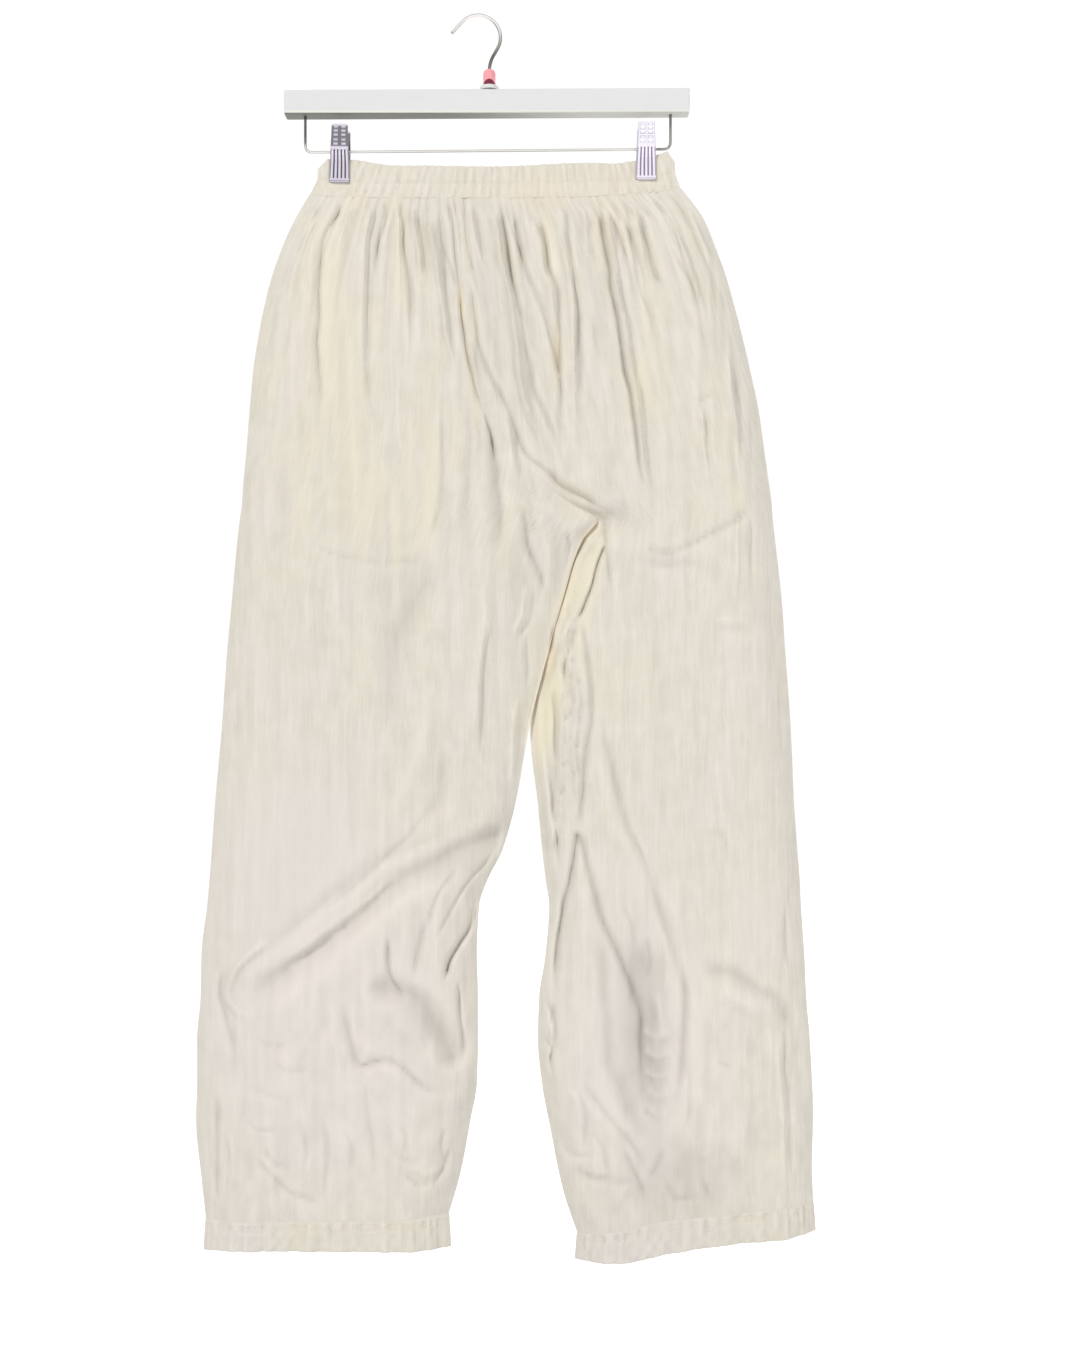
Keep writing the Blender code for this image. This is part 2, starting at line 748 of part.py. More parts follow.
def add_clips():
    for name, (across, turn) in CLIPS.items():
        place = Vector((across, 0.0, rod_height(across)))
        spot = Matrix.Translation(place * MM) @ Matrix.Rotation(-turn, 4, "Y")
        for side, face, ear in (("front", -1, FRONT_EAR), ("back", 1, BACK_EAR)):
            plate = add_part(f"{name}_{side}", clip_plate(face), "chrome")
            plate.matrix_world = spot
            for edge in (-1, 1):
                outward = 7.4
                size = (EAR_SHEET, outward + EAR_PAST_ROD, EAR_HEIGHT)
                mesh = box_mesh(size)
                centre = (edge * (ear - EAR_SHEET / 2), face * (outward - EAR_PAST_ROD) / 2, 0.0)
                bmesh.ops.translate(mesh, vec=Vector(centre) * MM, verts=mesh.verts)
                mesh.transform(spot)
                cut(plate, cutter_from(mesh, f"{name}_{side}_ear_{edge}"), "UNION")
            hole = rod_cutter(
                f"{name}_{side}_hole", ROD_WIRE + BORE_CLEARANCE, 40.0, place, along_x=True
            )
            cut(plate, hole, "DIFFERENCE")
        bore = ROD_WIRE + BORE_CLEARANCE
        half = SPRING_LENGTH / 2
        ring = [(bore, half), (SPRING_OUTSIDE, half), (SPRING_OUTSIDE, -half), (bore, -half)]
        add_turned(f"{name}_spring", ring, place, "chrome", along_x=True)


clear_scene()
parts, cutters = make_collections()
materials = make_materials()
add_panels()
add_bags()
add_waistband()
add_hems()
add_bar()
add_hook()
add_sleeve()
add_clip_rod()
add_clips()
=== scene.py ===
import math

import bmesh
import bpy
import numpy as np
from mathutils import Matrix, Vector


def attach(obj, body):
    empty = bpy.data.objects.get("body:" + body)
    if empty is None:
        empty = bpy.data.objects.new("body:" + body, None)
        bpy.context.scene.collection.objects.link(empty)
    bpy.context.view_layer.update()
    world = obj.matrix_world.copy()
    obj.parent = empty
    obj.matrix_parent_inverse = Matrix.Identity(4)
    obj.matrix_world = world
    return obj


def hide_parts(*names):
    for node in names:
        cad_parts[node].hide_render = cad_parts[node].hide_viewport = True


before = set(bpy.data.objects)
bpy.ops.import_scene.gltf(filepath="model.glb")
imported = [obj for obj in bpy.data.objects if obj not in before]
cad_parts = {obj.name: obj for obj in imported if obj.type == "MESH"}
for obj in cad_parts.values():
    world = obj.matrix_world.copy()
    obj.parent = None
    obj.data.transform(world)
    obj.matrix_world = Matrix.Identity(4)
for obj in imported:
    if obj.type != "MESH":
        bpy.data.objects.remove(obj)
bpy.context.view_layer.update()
print("frame loaded")

mm = 0.001

# The photograph's scale and camera, in mm. Its pixels place creases and patches on the cloth.
photo = {
    "hookX": 477.0,
    "hookY": 16.6,
    "mmPerPixel": 0.889,
    "distance": 1250.0,
    "centreX": 56.0,
    "centreZ": -585.3,
    "rows": 1350,
    "sensor": 36.0,
}
clothFront = -16.0


def fromPhoto(column, row):
    # The place across and up of what the photograph shows of the cloth at a pixel
    across = (column - photo["hookX"]) * photo["mmPerPixel"]
    up = (photo["hookY"] - row) * photo["mmPerPixel"]
    nearer = (photo["distance"] + clothFront) / photo["distance"]
    return (
        photo["centreX"] + (across - photo["centreX"]) * nearer,
        photo["centreZ"] + (up - photo["centreZ"]) * nearer,
    )


def pathOf(text):
    return np.array([fromPhoto(*map(float, pair.split())) for pair in text.split(",")])


def makeCamera():
    data = bpy.data.cameras.new("camera")
    data.sensor_width = photo["sensor"]
    data.lens = photo["sensor"] * photo["distance"] / (photo["rows"] * photo["mmPerPixel"])
    data.clip_start = 0.02
    camera = bpy.data.objects.new("camera", data)
    camera.location = (photo["centreX"] * mm, -photo["distance"] * mm, photo["centreZ"] * mm)
    camera.rotation_euler = (math.pi / 2, 0, 0)
    bpy.context.scene.collection.objects.link(camera)
    bpy.context.scene.camera = camera


studio = {
    "white": 1.02,  # the background as the camera sees it
    "fill": 0.365,  # the background as it lights the cloth
    "middle": (0.03, 0.0, -0.6),
    "floor": -1.42,
    "floorRadius": 9.0,
    "lights": {  # place and size in m, power in W, colour
        "key": ((-4.3, -4.6, 2.7), 1.7, 284.0, (1.0, 0.988, 0.972)),
        "soft": ((3.1, -2.9, -0.4), 1.6, 65.0, (0.99, 0.99, 1.0)),
        "backKey": ((2.3, 2.4, 1.1), 1.1, 84.0, (1.0, 0.985, 0.965)),
    },
}


def makeLight(name, place, size, power, colour):
    data = bpy.data.lights.new(name, "AREA")
    data.shape = "DISK"
    data.size = size
    data.energy = power
    data.color = colour
    light = bpy.data.objects.new(name, data)
    light.location = place
    light.visible_glossy = False
    light.rotation_euler = (Vector(studio["middle"]) - Vector(place)).to_track_quat("-Z", "Y").to_euler()
    bpy.context.scene.collection.objects.link(light)


def makeStudio():
    scene = bpy.context.scene
    scene.view_settings.view_transform = "Standard"
    world = bpy.data.worlds.new("studio")
    world.use_nodes = True
    tree = world.node_tree
    background = tree.nodes["Background"]
    rays = addNode(tree, "ShaderNodeLightPath").outputs["Is Diffuse Ray"]
    strength = maths(tree, "MULTIPLY_ADD", rays, studio["fill"] - studio["white"], studio["white"])
    background.inputs["Color"].default_value = (1.0, 1.0, 1.0, 1)
    tree.links.new(strength, background.inputs["Strength"])
    scene.world = world
    for name, light in studio["lights"].items():
        makeLight(name, *light)
    mesh = bpy.data.meshes.new("floor")
    shape = bmesh.new()
    bmesh.ops.create_circle(shape, cap_ends=True, segments=96, radius=studio["floorRadius"])
    bmesh.ops.translate(shape, vec=(0, 0, studio["floor"]), verts=shape.verts)
    shape.to_mesh(mesh)
    shape.free()
    floor = bpy.data.objects.new("floor", mesh)
    scene.collection.objects.link(floor)
    mesh.materials.append(floorMaterial())


def newMaterial(name, roughness=0.5, metallic=0.0):
    material = bpy.data.materials.new(name)
    material.use_nodes = True
    tree = material.node_tree
    shader = tree.nodes["Principled BSDF"]
    shader.inputs["Roughness"].default_value = roughness
    shader.inputs["Metallic"].default_value = metallic
    return material, tree, shader


def plug(tree, socket, value):
    if isinstance(value, bpy.types.NodeSocket):
        tree.links.new(value, socket)
    else:
        socket.default_value = value


def addNode(tree, kind, inputs=None, **settings):
    node = tree.nodes.new(kind)
    for key, value in settings.items():
        setattr(node, key, value)
    for key, value in (inputs or {}).items():
        plug(tree, node.inputs[key], value)
    return node


def mixColours(tree, share, first, second, blend="MIX"):
    node = addNode(tree, "ShaderNodeMix", data_type="RGBA", blend_type=blend)
    for socket, value in ((0, share), (6, first), (7, second)):
        plug(tree, node.inputs[socket], (*value, 1.0) if isinstance(value, tuple) else value)
    return node.outputs[2]


def maths(tree, operation, *values):
    node = addNode(tree, "ShaderNodeMath", operation=operation)
    for socket, value in enumerate(values):
        plug(tree, node.inputs[socket], value)
    return node.outputs[0]


def noise(tree, vector, scale, detail=2.0, roughness=0.5):
    inputs = {"Vector": vector, "Scale": scale, "Detail": detail, "Roughness": roughness, "Distortion": 0.0}
    return addNode(tree, "ShaderNodeTexNoise", inputs).outputs["Fac"]


def stretched(tree, vector, scale):
    return addNode(tree, "ShaderNodeVectorMath", {0: vector, 1: scale}, operation="MULTIPLY").outputs[0]


def spread(tree, value, low, high):
    # 0 at low, 1 at high, and smooth between
    inputs = {"Value": value, "From Min": low, "From Max": high}
    return addNode(tree, "ShaderNodeMapRange", inputs, interpolation_type="SMOOTHSTEP").outputs["Result"]


def separate(tree, vector, axis):
    return addNode(tree, "ShaderNodeSeparateXYZ", {0: vector}).outputs[axis]


def attribute(tree, name, output="Fac"):
    return addNode(tree, "ShaderNodeAttribute", attribute_name=name).outputs[output]


def objectPlace(tree):
    return addNode(tree, "ShaderNodeTexCoord").outputs["Object"]


def finishMaterial(tree, shader, colour, rough, bump=None):
    tree.links.new(colour, shader.inputs["Base Color"])
    plug(tree, shader.inputs["Roughness"], rough)
    if bump:  # height, strength and depth in m
        inputs = dict(zip(("Height", "Strength", "Distance"), bump))
        tree.links.new(addNode(tree, "ShaderNodeBump", inputs).outputs["Normal"], shader.inputs["Normal"])


def newGroup(name, inputs, outputs):
    group = bpy.data.node_groups.new(name, "ShaderNodeTree")
    for direction, sockets in (("INPUT", inputs), ("OUTPUT", outputs)):
        for socket, kind in sockets.items():
            group.interface.new_socket(socket, in_out=direction, socket_type=kind)
    start = group.nodes.new("NodeGroupInput")
    end = group.nodes.new("NodeGroupOutput")
    return group, start.outputs, end.inputs


# Gauze: uneven crinkles that run down the cloth, an open weave, and pale slubs. The triples
# are each pattern's cells for a mm across, down and out.
crinkles = {
    "bend": (0.05, 0.012, 0.05),
    "sway": 14.0,
    "fine": (0.42, 0.026, 0.4),
    "broad": (0.13, 0.013, 0.13),
    "crumple": (0.07, 0.05, 0.07),
    "weave": 8.4,
    "height": {"fine": 0.55, "broad": 0.9, "crumple": 0.6, "weave": 0.02},
}


def makeCrinkleGroup():
    group, given, wanted = newGroup(
        "gauzeCrinkle",
        {"Place": "NodeSocketVector"},
        {"Height": "NodeSocketFloat", "Streak": "NodeSocketFloat", "Patch": "NodeSocketFloat"},
    )
    place = given["Place"]
    height = crinkles["height"]
    bend = noise(group, stretched(group, place, crinkles["bend"]), 1.0, 2.0)
    lean = addNode(group, "ShaderNodeCombineXYZ", {"X": maths(group, "MULTIPLY", bend, crinkles["sway"])})
    swayed = addNode(group, "ShaderNodeVectorMath", {0: place, 1: lean.outputs[0]}, operation="ADD")
    swayed = swayed.outputs[0]
    fine = noise(group, stretched(group, swayed, crinkles["fine"]), 1.0, 3.0, 0.55)
    broad = noise(group, stretched(group, swayed, crinkles["broad"]), 1.0, 2.0, 0.5)
    crumple = noise(group, stretched(group, place, crinkles["crumple"]), 1.0, 3.0, 0.6)
    waves = (separate(group, swayed, 0), separate(group, place, 1))
    waves = [maths(group, "SINE", maths(group, "MULTIPLY", wave, crinkles["weave"])) for wave in waves]
    total = maths(group, "MULTIPLY", broad, height["broad"])
    total = maths(group, "MULTIPLY_ADD", fine, height["fine"], total)
    total = maths(group, "MULTIPLY_ADD", crumple, height["crumple"], total)
    total = maths(group, "MULTIPLY_ADD", maths(group, "MULTIPLY", *waves), height["weave"], total)
    group.links.new(total, wanted["Height"])
    group.links.new(spread(group, fine, 0.42, 0.66), wanted["Streak"])
    group.links.new(spread(group, crumple, 0.35, 0.7), wanted["Patch"])
    return group


gauze = {
    "cream": (0.722, 0.684, 0.604),
    # painted shade for the crinkles' hollows
    "hollow": (0.625, 0.585, 0.505),
    "slub": (0.795, 0.757, 0.680),
    "doubled": (0.790, 0.735, 0.560),
    "pink": (0.750, 0.697, 0.660),
    "peach": (0.800, 0.680, 0.540),
    # painted shade, warm, where the cloth's inside shows at gaps and laps
    "inside": (0.680, 0.595, 0.440),
    # a painted glow, as of light coming through the cloth
    "paintedGlow": (0.50, 0.36, 0.19),
    "creamShare": 0.55,
    "slubShare": 0.35,
    "drift": (0.028, 0.011, 0.028),  # the hue's cells for a mm across, down and out
    "pinkDrift": (0.5, 0.62, 0.28),  # the noise where it starts and is full, and its share
    "doubledDrift": (0.48, 0.38, 0.13),
    "bump": (0.5, 0.0011),
}


def gauzeMaterial(crinkle):
    material, tree, shader = newMaterial("gauzeCloth")
    shader.inputs["Sheen Weight"].default_value = 0.25
    shader.inputs["Sheen Roughness"].default_value = 0.6
    shader.inputs["Specular IOR Level"].default_value = 0.2
    place = attribute(tree, "flow", "Vector")
    cloth = addNode(tree, "ShaderNodeGroup", node_tree=crinkle)
    tree.links.new(place, cloth.inputs["Place"])
    # Painted shade: the cloth is darker where the fine crinkle is low, in its hollows
    colour = mixColours(tree, cloth.outputs["Streak"], gauze["hollow"], gauze["cream"])
    colour = mixColours(tree, gauze["creamShare"], colour, gauze["cream"])
    slubs = maths(tree, "MULTIPLY", cloth.outputs["Patch"], gauze["slubShare"])
    colour = mixColours(tree, slubs, colour, gauze["slub"])
    hue = noise(tree, stretched(tree, place, gauze["drift"]), 1.0, 2.0, 0.6)
    for key in ("pink", "doubled"):
        low, high, share = gauze[key + "Drift"]
        drift = maths(tree, "MULTIPLY", spread(tree, hue, low, high), share)
        colour = mixColours(tree, drift, colour, gauze[key])
    # Pink and peach are tints and doubled is cloth in two layers; inside is painted shade at gaps and laps
    for mask in ("pink", "peach", "doubled", "inside"):
        colour = mixColours(tree, attribute(tree, mask), colour, gauze[mask])
    lit = maths(tree, "SUBTRACT", 1.0, attribute(tree, "shade"))
    grey = addNode(tree, "ShaderNodeCombineXYZ", {"X": lit, "Y": lit, "Z": lit}).outputs[0]
    colour = mixColours(tree, 1.0, colour, grey, "MULTIPLY")
    rough = maths(tree, "MULTIPLY_ADD", cloth.outputs["Streak"], 0.08, 0.86)
    finishMaterial(tree, shader, colour, rough, (cloth.outputs["Height"], *gauze["bump"]))
    # A painted glow, as of light coming through thin or lapped cloth, set by its mask
    shader.inputs["Emission Color"].default_value = (*gauze["paintedGlow"], 1)
    tree.links.new(attribute(tree, "through"), shader.inputs["Emission Strength"])
    return material


def floorMaterial():
    material, tree, shader = newMaterial("floorPaper")
    shader.inputs["Specular IOR Level"].default_value = 0.0
    grain = noise(tree, objectPlace(tree), 30.0, 3.0)
    finishMaterial(tree, shader, mixColours(tree, grain, (0.60, 0.60, 0.60), (0.62, 0.62, 0.62)), 0.95)
    shader.inputs["Emission Color"].default_value = (1, 1, 1, 1)
    rays = addNode(tree, "ShaderNodeLightPath").outputs
    seen = maths(tree, "MAXIMUM", rays["Is Camera Ray"], rays["Is Glossy Ray"])
    tree.links.new(maths(tree, "MULTIPLY", seen, 0.8), shader.inputs["Emission Strength"])
    return material


# White paint on the bar. Its lower edge has a warm painted highlight and its underside has
# painted shade. Each has its colour, and the heights in m between which it starts.
paint = {
    "grain": (8.0, 60.0, 90.0),
    "shades": ((0.70, 0.70, 0.70), (0.76, 0.76, 0.765)),
    "edge": ((0.80, 0.80, 0.74), -0.0868, -0.0855),
    "shadedUnderside": ((0.20, 0.21, 0.175), -0.0886, -0.0878),
}


def paintMaterial():
    material, tree, shader = newMaterial("barPaint")
    place = objectPlace(tree)
    grain = noise(tree, stretched(tree, place, paint["grain"]), 1.0, 3.0)
    colour = mixColours(tree, grain, *paint["shades"])
    # Painted highlight along the lower edge, then painted shade on the underside
    for key in ("edge", "shadedUnderside"):
        tone, low, high = paint[key]
        colour = mixColours(tree, spread(tree, separate(tree, place, 2), low, high), tone, colour)
    rough = maths(tree, "MULTIPLY_ADD", grain, 0.15, 0.32)
    finishMaterial(tree, shader, colour, rough, (grain, 0.08, 0.0006))
    return material


# Chrome with painted reflection: the right clip is painted brighter than the left one, as
# if it mirrors a brighter part of the room
chrome = {
    "left": ((0.64, 0.59, 0.69), (0.80, 0.75, 0.85)),
    "right": ((0.84, 0.79, 0.90), (0.96, 0.93, 0.99)),
    # painted shade and dark reflection in grooves, dimples and along edges
    "grooves": ((0.03, 0.032, 0.035), (0.20, 0.15, 0.27)),
    "between": (0.0, 0.05),
}


def chromeMaterial():
    material, tree, shader = newMaterial("chromePlate", metallic=1.0)
    place = objectPlace(tree)
    wear = noise(tree, place, 140.0, 3.0)
    rightOne = spread(tree, separate(tree, place, 0), *chrome["between"])
    left, right = (mixColours(tree, wear, *chrome[side]) for side in ("left", "right"))
    colour = mixColours(tree, rightOne, left, right)
    # Painted shade and dark reflection where the clips' groove mask is set
    paintedShade = mixColours(tree, rightOne, *chrome["grooves"])
    colour = mixColours(tree, attribute(tree, "groove"), colour, paintedShade)
    rough = maths(tree, "MULTIPLY_ADD", wear, 0.16, 0.08)
    finishMaterial(tree, shader, colour, rough, (wear, 0.05, 0.0003))
    return material


# Chromed wire with painted reflection: a pale line along its middle and dark flanks, as if it
# mirrors a room. Painted highlights make it brighter on the rod and at the top of the bow.
# Places are in m.
wire = {
    "bands": (30.0, 60.0, 30.0),
    "middle": ((0.13, 0.115, 0.10), (0.42, 0.39, 0.36)),
    "flankReflection": (0.06, 0.052, 0.046),
    "rod": (0.70, 0.68, 0.66),
    "rodUp": (-0.1120, -0.1165),
    "rodEnd": (0.162, 0.155),
    "bow": (0.78, 0.75, 0.73),
    "bowUp": (-0.030, -0.010),
}


def wireMaterial():
    material, tree, shader = newMaterial("chromeWire", metallic=1.0)
    place = objectPlace(tree)
    across, up = separate(tree, place, 0), separate(tree, place, 2)
    bands = noise(tree, stretched(tree, place, wire["bands"]), 1.0, 2.0, 0.6)
    middle = mixColours(tree, spread(tree, bands, 0.35, 0.65), *wire["middle"])
    # Painted highlight along the rod, and at the top of the bow
    rod = maths(tree, "MULTIPLY", spread(tree, up, *wire["rodUp"]), spread(tree, across, *wire["rodEnd"]))
    middle = mixColours(tree, rod, middle, wire["rod"])
    bow = maths(tree, "MULTIPLY", spread(tree, up, *wire["bowUp"]), spread(tree, bands, 0.3, 0.5))
    middle = mixColours(tree, bow, middle, wire["bow"])
    # Painted dark reflection on the flanks, where the wire turns from the camera
    facing = addNode(tree, "ShaderNodeLayerWeight", {"Blend": 0.5}).outputs["Facing"]
    colour = mixColours(tree, spread(tree, facing, 0.22, 0.5), middle, wire["flankReflection"])
    finishMaterial(tree, shader, colour, maths(tree, "MULTIPLY_ADD", bands, 0.12, 0.34))
    return material


# The pink sleeve, with painted shade in a recess under an arch at its lower edge. Places are in m.
sleeve = {
    "shades": ((0.90, 0.33, 0.36), (0.95, 0.42, 0.44)),
    "paintedShade": (0.17, 0.012, 0.035),
    "middle": 0.01097,
    "arch": 110.0,
    "recessShade": (-0.0570, -0.0577),
}


def sleeveMaterial():
    material, tree, shader = newMaterial("pinkSleeve")
    place = objectPlace(tree)
    mottled = noise(tree, place, 500.0, 2.0)
    aside = maths(tree, "SUBTRACT", separate(tree, place, 0), sleeve["middle"])
    curve = maths(tree, "MULTIPLY", maths(tree, "MULTIPLY", aside, aside), sleeve["arch"])
    arch = maths(tree, "ADD", separate(tree, place, 2), curve)
    colour = mixColours(tree, mottled, *sleeve["shades"])
    # Painted shade in the recess under the arch
    colour = mixColours(tree, spread(tree, arch, *sleeve["recessShade"]), colour, sleeve["paintedShade"])
    finishMaterial(tree, shader, colour, maths(tree, "MULTIPLY_ADD", mottled, 0.1, 0.33))
    return material


def threadMaterial():
    material, tree, shader = newMaterial("thread", 0.7)
    shader.inputs["Sheen Weight"].default_value = 0.2
    twist = noise(tree, stretched(tree, objectPlace(tree), (900.0, 900.0, 900.0)), 1.0, 2.0)
    colour = mixColours(tree, twist, (0.74, 0.69, 0.60), (0.84, 0.80, 0.72))
    finishMaterial(tree, shader, colour, 0.7, (twist, 0.2, 0.0002))
    return material


# The cloth's form, the same as its solids', read along smooth curves. Heights and widths
# are in mm.
sectionKeys = (
    "height outerLeft frontLeft frontRight backLeft backRight outerRight"
    " depth rise shift band lift round overRound"
).split()
sectionRows = np.array(
    [
        (-163, -148, -12, -13.5, 19.5, 18, 181, 10, 10, 0, 1.0, 0.0, 45, 45),
        (-187, -163, -9, -12, 19.5, 17, 201, 12, 12, 0, 0.4, 0.1, 45, 45),
        (-210, -174, -6, -10, 20, 16, 212, 14, 14, 0, 0.1, 0.2, 45, 45),
        (-241, -185, -3, -8, 21, 16, 224, 15, 15, 0, 0.0, 0.25, 45, 45),
        (-277, -193, 2, -4, 23, 17, 234, 16, 16, 0, 0.0, 0.3, 45, 45),
        (-315, -199, 10, 3, 27, 20, 243, 17, 17, 0, 0.0, 0.35, 45, 45),
        (-348, -202, 22, 15, 33, 26, 250, 17, 16, 0, 0.0, 0.5, 45, 40),
        (-397, -206, 47, 40, 53, 46, 257, 17, 14, 0, 0.0, 0.9, 42, 30),
        (-417, -208, 63, 58, 67, 62, 260, 17, 12.5, 0, 0.0, 1.2, 38, 22),
        (-434, -209, 85.6, 84, 85.6, 84, 262, 17, 9.5, 0, 0.0, 1.5, 34, 15),
        (-448, -211, 107.4, 107.4, 107.4, 107.4, 263, 17, 2, 0.5, 0.0, 1.1, 34, 12),
        (-456, -212, 101, 100, 101, 100, 264, 17, 0, 3.0, 0.0, 0.5, 45, 16),
        (-465, -213, 94, 91, 94, 91, 265, 17, 0, 3.8, 0.0, 0.2, 46, 20),
        (-520, -218, 76, 67, 76, 67, 271, 17, 0, 4.4, 0.0, 0.1, 46, 24),
        (-563, -222, 64, 54, 64, 54, 274, 17, 0, 4.4, 0.0, 0.0, 44, 24),
        (-634, -227, 46, 47.4, 46, 47.4, 279, 17, 0, 2.5, 0.0, 0.0, 44, 24),
        (-700, -233, 34, 54, 34, 54, 282, 16, 0, 0.5, 0.0, 0.0, 45, 24),
        (-742, -236, 22, 58, 22, 58, 285, 16, 0, 0, 0.0, 0.0, 40, 36),
        (-768, -238, 9, 61, 9, 61, 287, 16, 0, 0, 0.0, 0.0, 40, 40),
        (-790, -240, 2, 64, 2, 64, 288, 16, 0, 0, 0.0, 0.0, 40, 40),
        (-832, -245, 0, 61, 0, 61, 291, 16, 0, 0, 0.0, 0.0, 40, 40),
        (-873, -246, 1, 55, 1, 55, 293, 16, 0, 0, 0.0, 0.0, 40, 40),
        (-909, -249, 1, 54, 1, 54, 296, 15, 0, 0, 0.0, 0.0, 40, 40),
        (-949, -249, 0, 58, 0, 58, 298, 15, 0, 0, 0.0, 0.0, 40, 40),
        (-978, -250, -5, 64, -5, 64, 299, 15, 0, 0, 0.0, 0.0, 40, 40),
        (-1032, -245, -15, 76, -15, 76, 298, 14, 0, 0, 0.0, 0.0, 40, 40),
        (-1068, -241, -25, 89, -25, 89, 299, 13, 0, 0, 0.0, 0.0, 40, 40),
    ],
    float,
)
waistHeight, waistFade, hemHeight, hemFade, hemSpread = -163.0, 90.0, -1068.0, 150.0, 1.5
seamGap, bandWall, hemWall = 0.3, 2.4, 1.8
bandKeys = ("share", "top", "seam", "topDepth", "seamDepth")
bandRows = np.array(
    [
        (0.0, -127.0, -158.0, 0.15, 0.15),
        (0.04, -127.5, -160.0, 0.15, 1.6),
        (0.1, -128.6, -161.5, 0.15, 4.0),
        (0.14, -131.5, -162.5, 1.5, 6.0),
        (0.2, -134.3, -163.5, 4.0, 7.5),
        (0.3, -135.0, -164.0, 5.5, 8.5),
        (0.5, -136.0, -164.0, 6.5, 9.0),
        (0.72, -132.7, -163.0, 5.5, 8.5),
        (0.8, -132.0, -161.5, 4.0, 7.5),
        (0.84, -131.7, -160.5, 1.5, 6.0),
        (0.88, -130.0, -159.0, 0.15, 4.0),
        (0.97, -123.5, -155.0, 0.15, 1.6),
        (1.0, -120.0, -153.0, 0.15, 0.15),
    ]
)
bandTopEnds = (-133.0, 169.4)
bandSeamEnds = (-148.0, 181.0)
hemKeys = ("across", "seam", "edge")
hemRows = np.array(
    [
        (-242, -1069, -1096),
        (-199, -1068, -1093),
        (-85, -1066, -1093),
        (-28, -1064, -1093),
        (90, -1081, -1104),
        (125, -1076, -1104),
        (165, -1067, -1096),
        (219, -1061, -1087),
        (258, -1057, -1084),
        (298, -1054, -1079),
    ],
    float,
)
clipPlaces = {"left": (-121.3, -1.4), "right": (150.2, 0.0)}
rodLeft, rodRight = (-152.6, -120.7), (172.0, -117.8)


def smoothCurve(xs, ys, at):
    # A monotone cubic through a table's points, level beyond its ends.
    order = np.argsort(xs)
    xs, ys = xs[order], ys[order]
    at = np.clip(at, xs[0], xs[-1])
    steps = np.diff(xs)
    slopes = np.diff(ys) / steps
    tangents = np.zeros(len(xs))
    before, after = slopes[:-1], slopes[1:]
    same = before * after > 0
    weightA, weightB = 2 * steps[1:] + steps[:-1], steps[1:] + 2 * steps[:-1]
    with np.errstate(divide="ignore", invalid="ignore"):
        mean = (weightA + weightB) / (weightA / before + weightB / after)
    tangents[1:-1] = np.where(same, mean, 0.0)
    tangents[0], tangents[-1] = slopes[0], slopes[-1]
    index = np.clip(np.searchsorted(xs, at, side="right") - 1, 0, len(steps) - 1)
    span = steps[index]
    t = (at - xs[index]) / span
    t2, t3 = t * t, t * t * t
    return (
        (2 * t3 - 3 * t2 + 1) * ys[index]
        + (t3 - 2 * t2 + t) * span * tangents[index]
        + (-2 * t3 + 3 * t2) * ys[index + 1]
        + (t3 - t2) * span * tangents[index + 1]
    )


def readSection(key, height):
    return smoothCurve(sectionRows[:, 0], sectionRows[:, sectionKeys.index(key)], height)


def readBand(key, share):
    return smoothCurve(bandRows[:, 0], bandRows[:, bandKeys.index(key)], share)


def readHem(key, across):
    return smoothCurve(hemRows[:, 0], hemRows[:, hemKeys.index(key)], across)


def mixed(low, high, share):
    return low + (high - low) * share


def smoothStep(value):
    value = np.clip(value, 0.0, 1.0)
    return value * value * (3 - 2 * value)


def shareAt(across):
    return (across - bandSeamEnds[0]) / (bandSeamEnds[1] - bandSeamEnds[0])


def heightBend(height, across):
    nearWaist = np.clip(1 - (waistHeight - height) / waistFade, 0, 1)
    nearHem = np.clip(1 - (height - hemHeight) / hemFade, 0, 1)
    waist = readBand("seam", shareAt(across)) - waistHeight
    hem = readHem("seam", across) - hemHeight
    return nearWaist * waist + nearHem * hem


def unevenWave(across, up, cellAcross, cellUp, seed):
    # Smooth random relief from -1 to 1, with cells of a given size in mm.
    grid = np.random.default_rng(seed).uniform(-1, 1, (64, 64))
    x, z = across / cellAcross + 31.7, up / cellUp + 57.3
    column, row = np.floor(x).astype(int), np.floor(z).astype(int)
    u, v = smoothStep(x - column), smoothStep(z - row)

    def corner(right, over):
        return grid[(column + right) % 64, (row + over) % 64]

    lower = mixed(corner(0, 0), corner(1, 0), u)
    upper = mixed(corner(0, 1), corner(1, 1), u)
    return mixed(lower, upper, v)


# Gathers: hills between stitched valleys along the waistband, uneven in width and height.
# Fine and coarse ones have their step, as a share of the band, and how much it varies.
gather = {"fine": (0.024, 0.38), "coarse": (0.046, 0.45), "round": 0.75, "valley": 0.45}


def makeGathers(seed, step, vary):
    source = np.random.default_rng(seed)
    places, heights = [-0.01], []
    while places[-1] < 1.01:
        places.append(places[-1] + step * source.uniform(1 - vary, 1 + vary))
        heights.append(source.uniform(0.45, 1.0))
    return np.array(places), np.array(heights)

gathers = {
    face: (makeGathers(seed, *gather["fine"]), makeGathers(seed + 1, *gather["coarse"]))
    for face, seed in ((-1, 11), (1, 21))
}


def hills(wave, share):
    places, heights = wave
    index = np.clip(np.searchsorted(places, share, side="right") - 1, 0, len(heights) - 1)
    t = (share - places[index]) / (places[index + 1] - places[index])
    return heights[index] * np.abs(np.sin(np.pi * np.clip(t, 0, 1))) ** gather["round"] - gather["valley"]


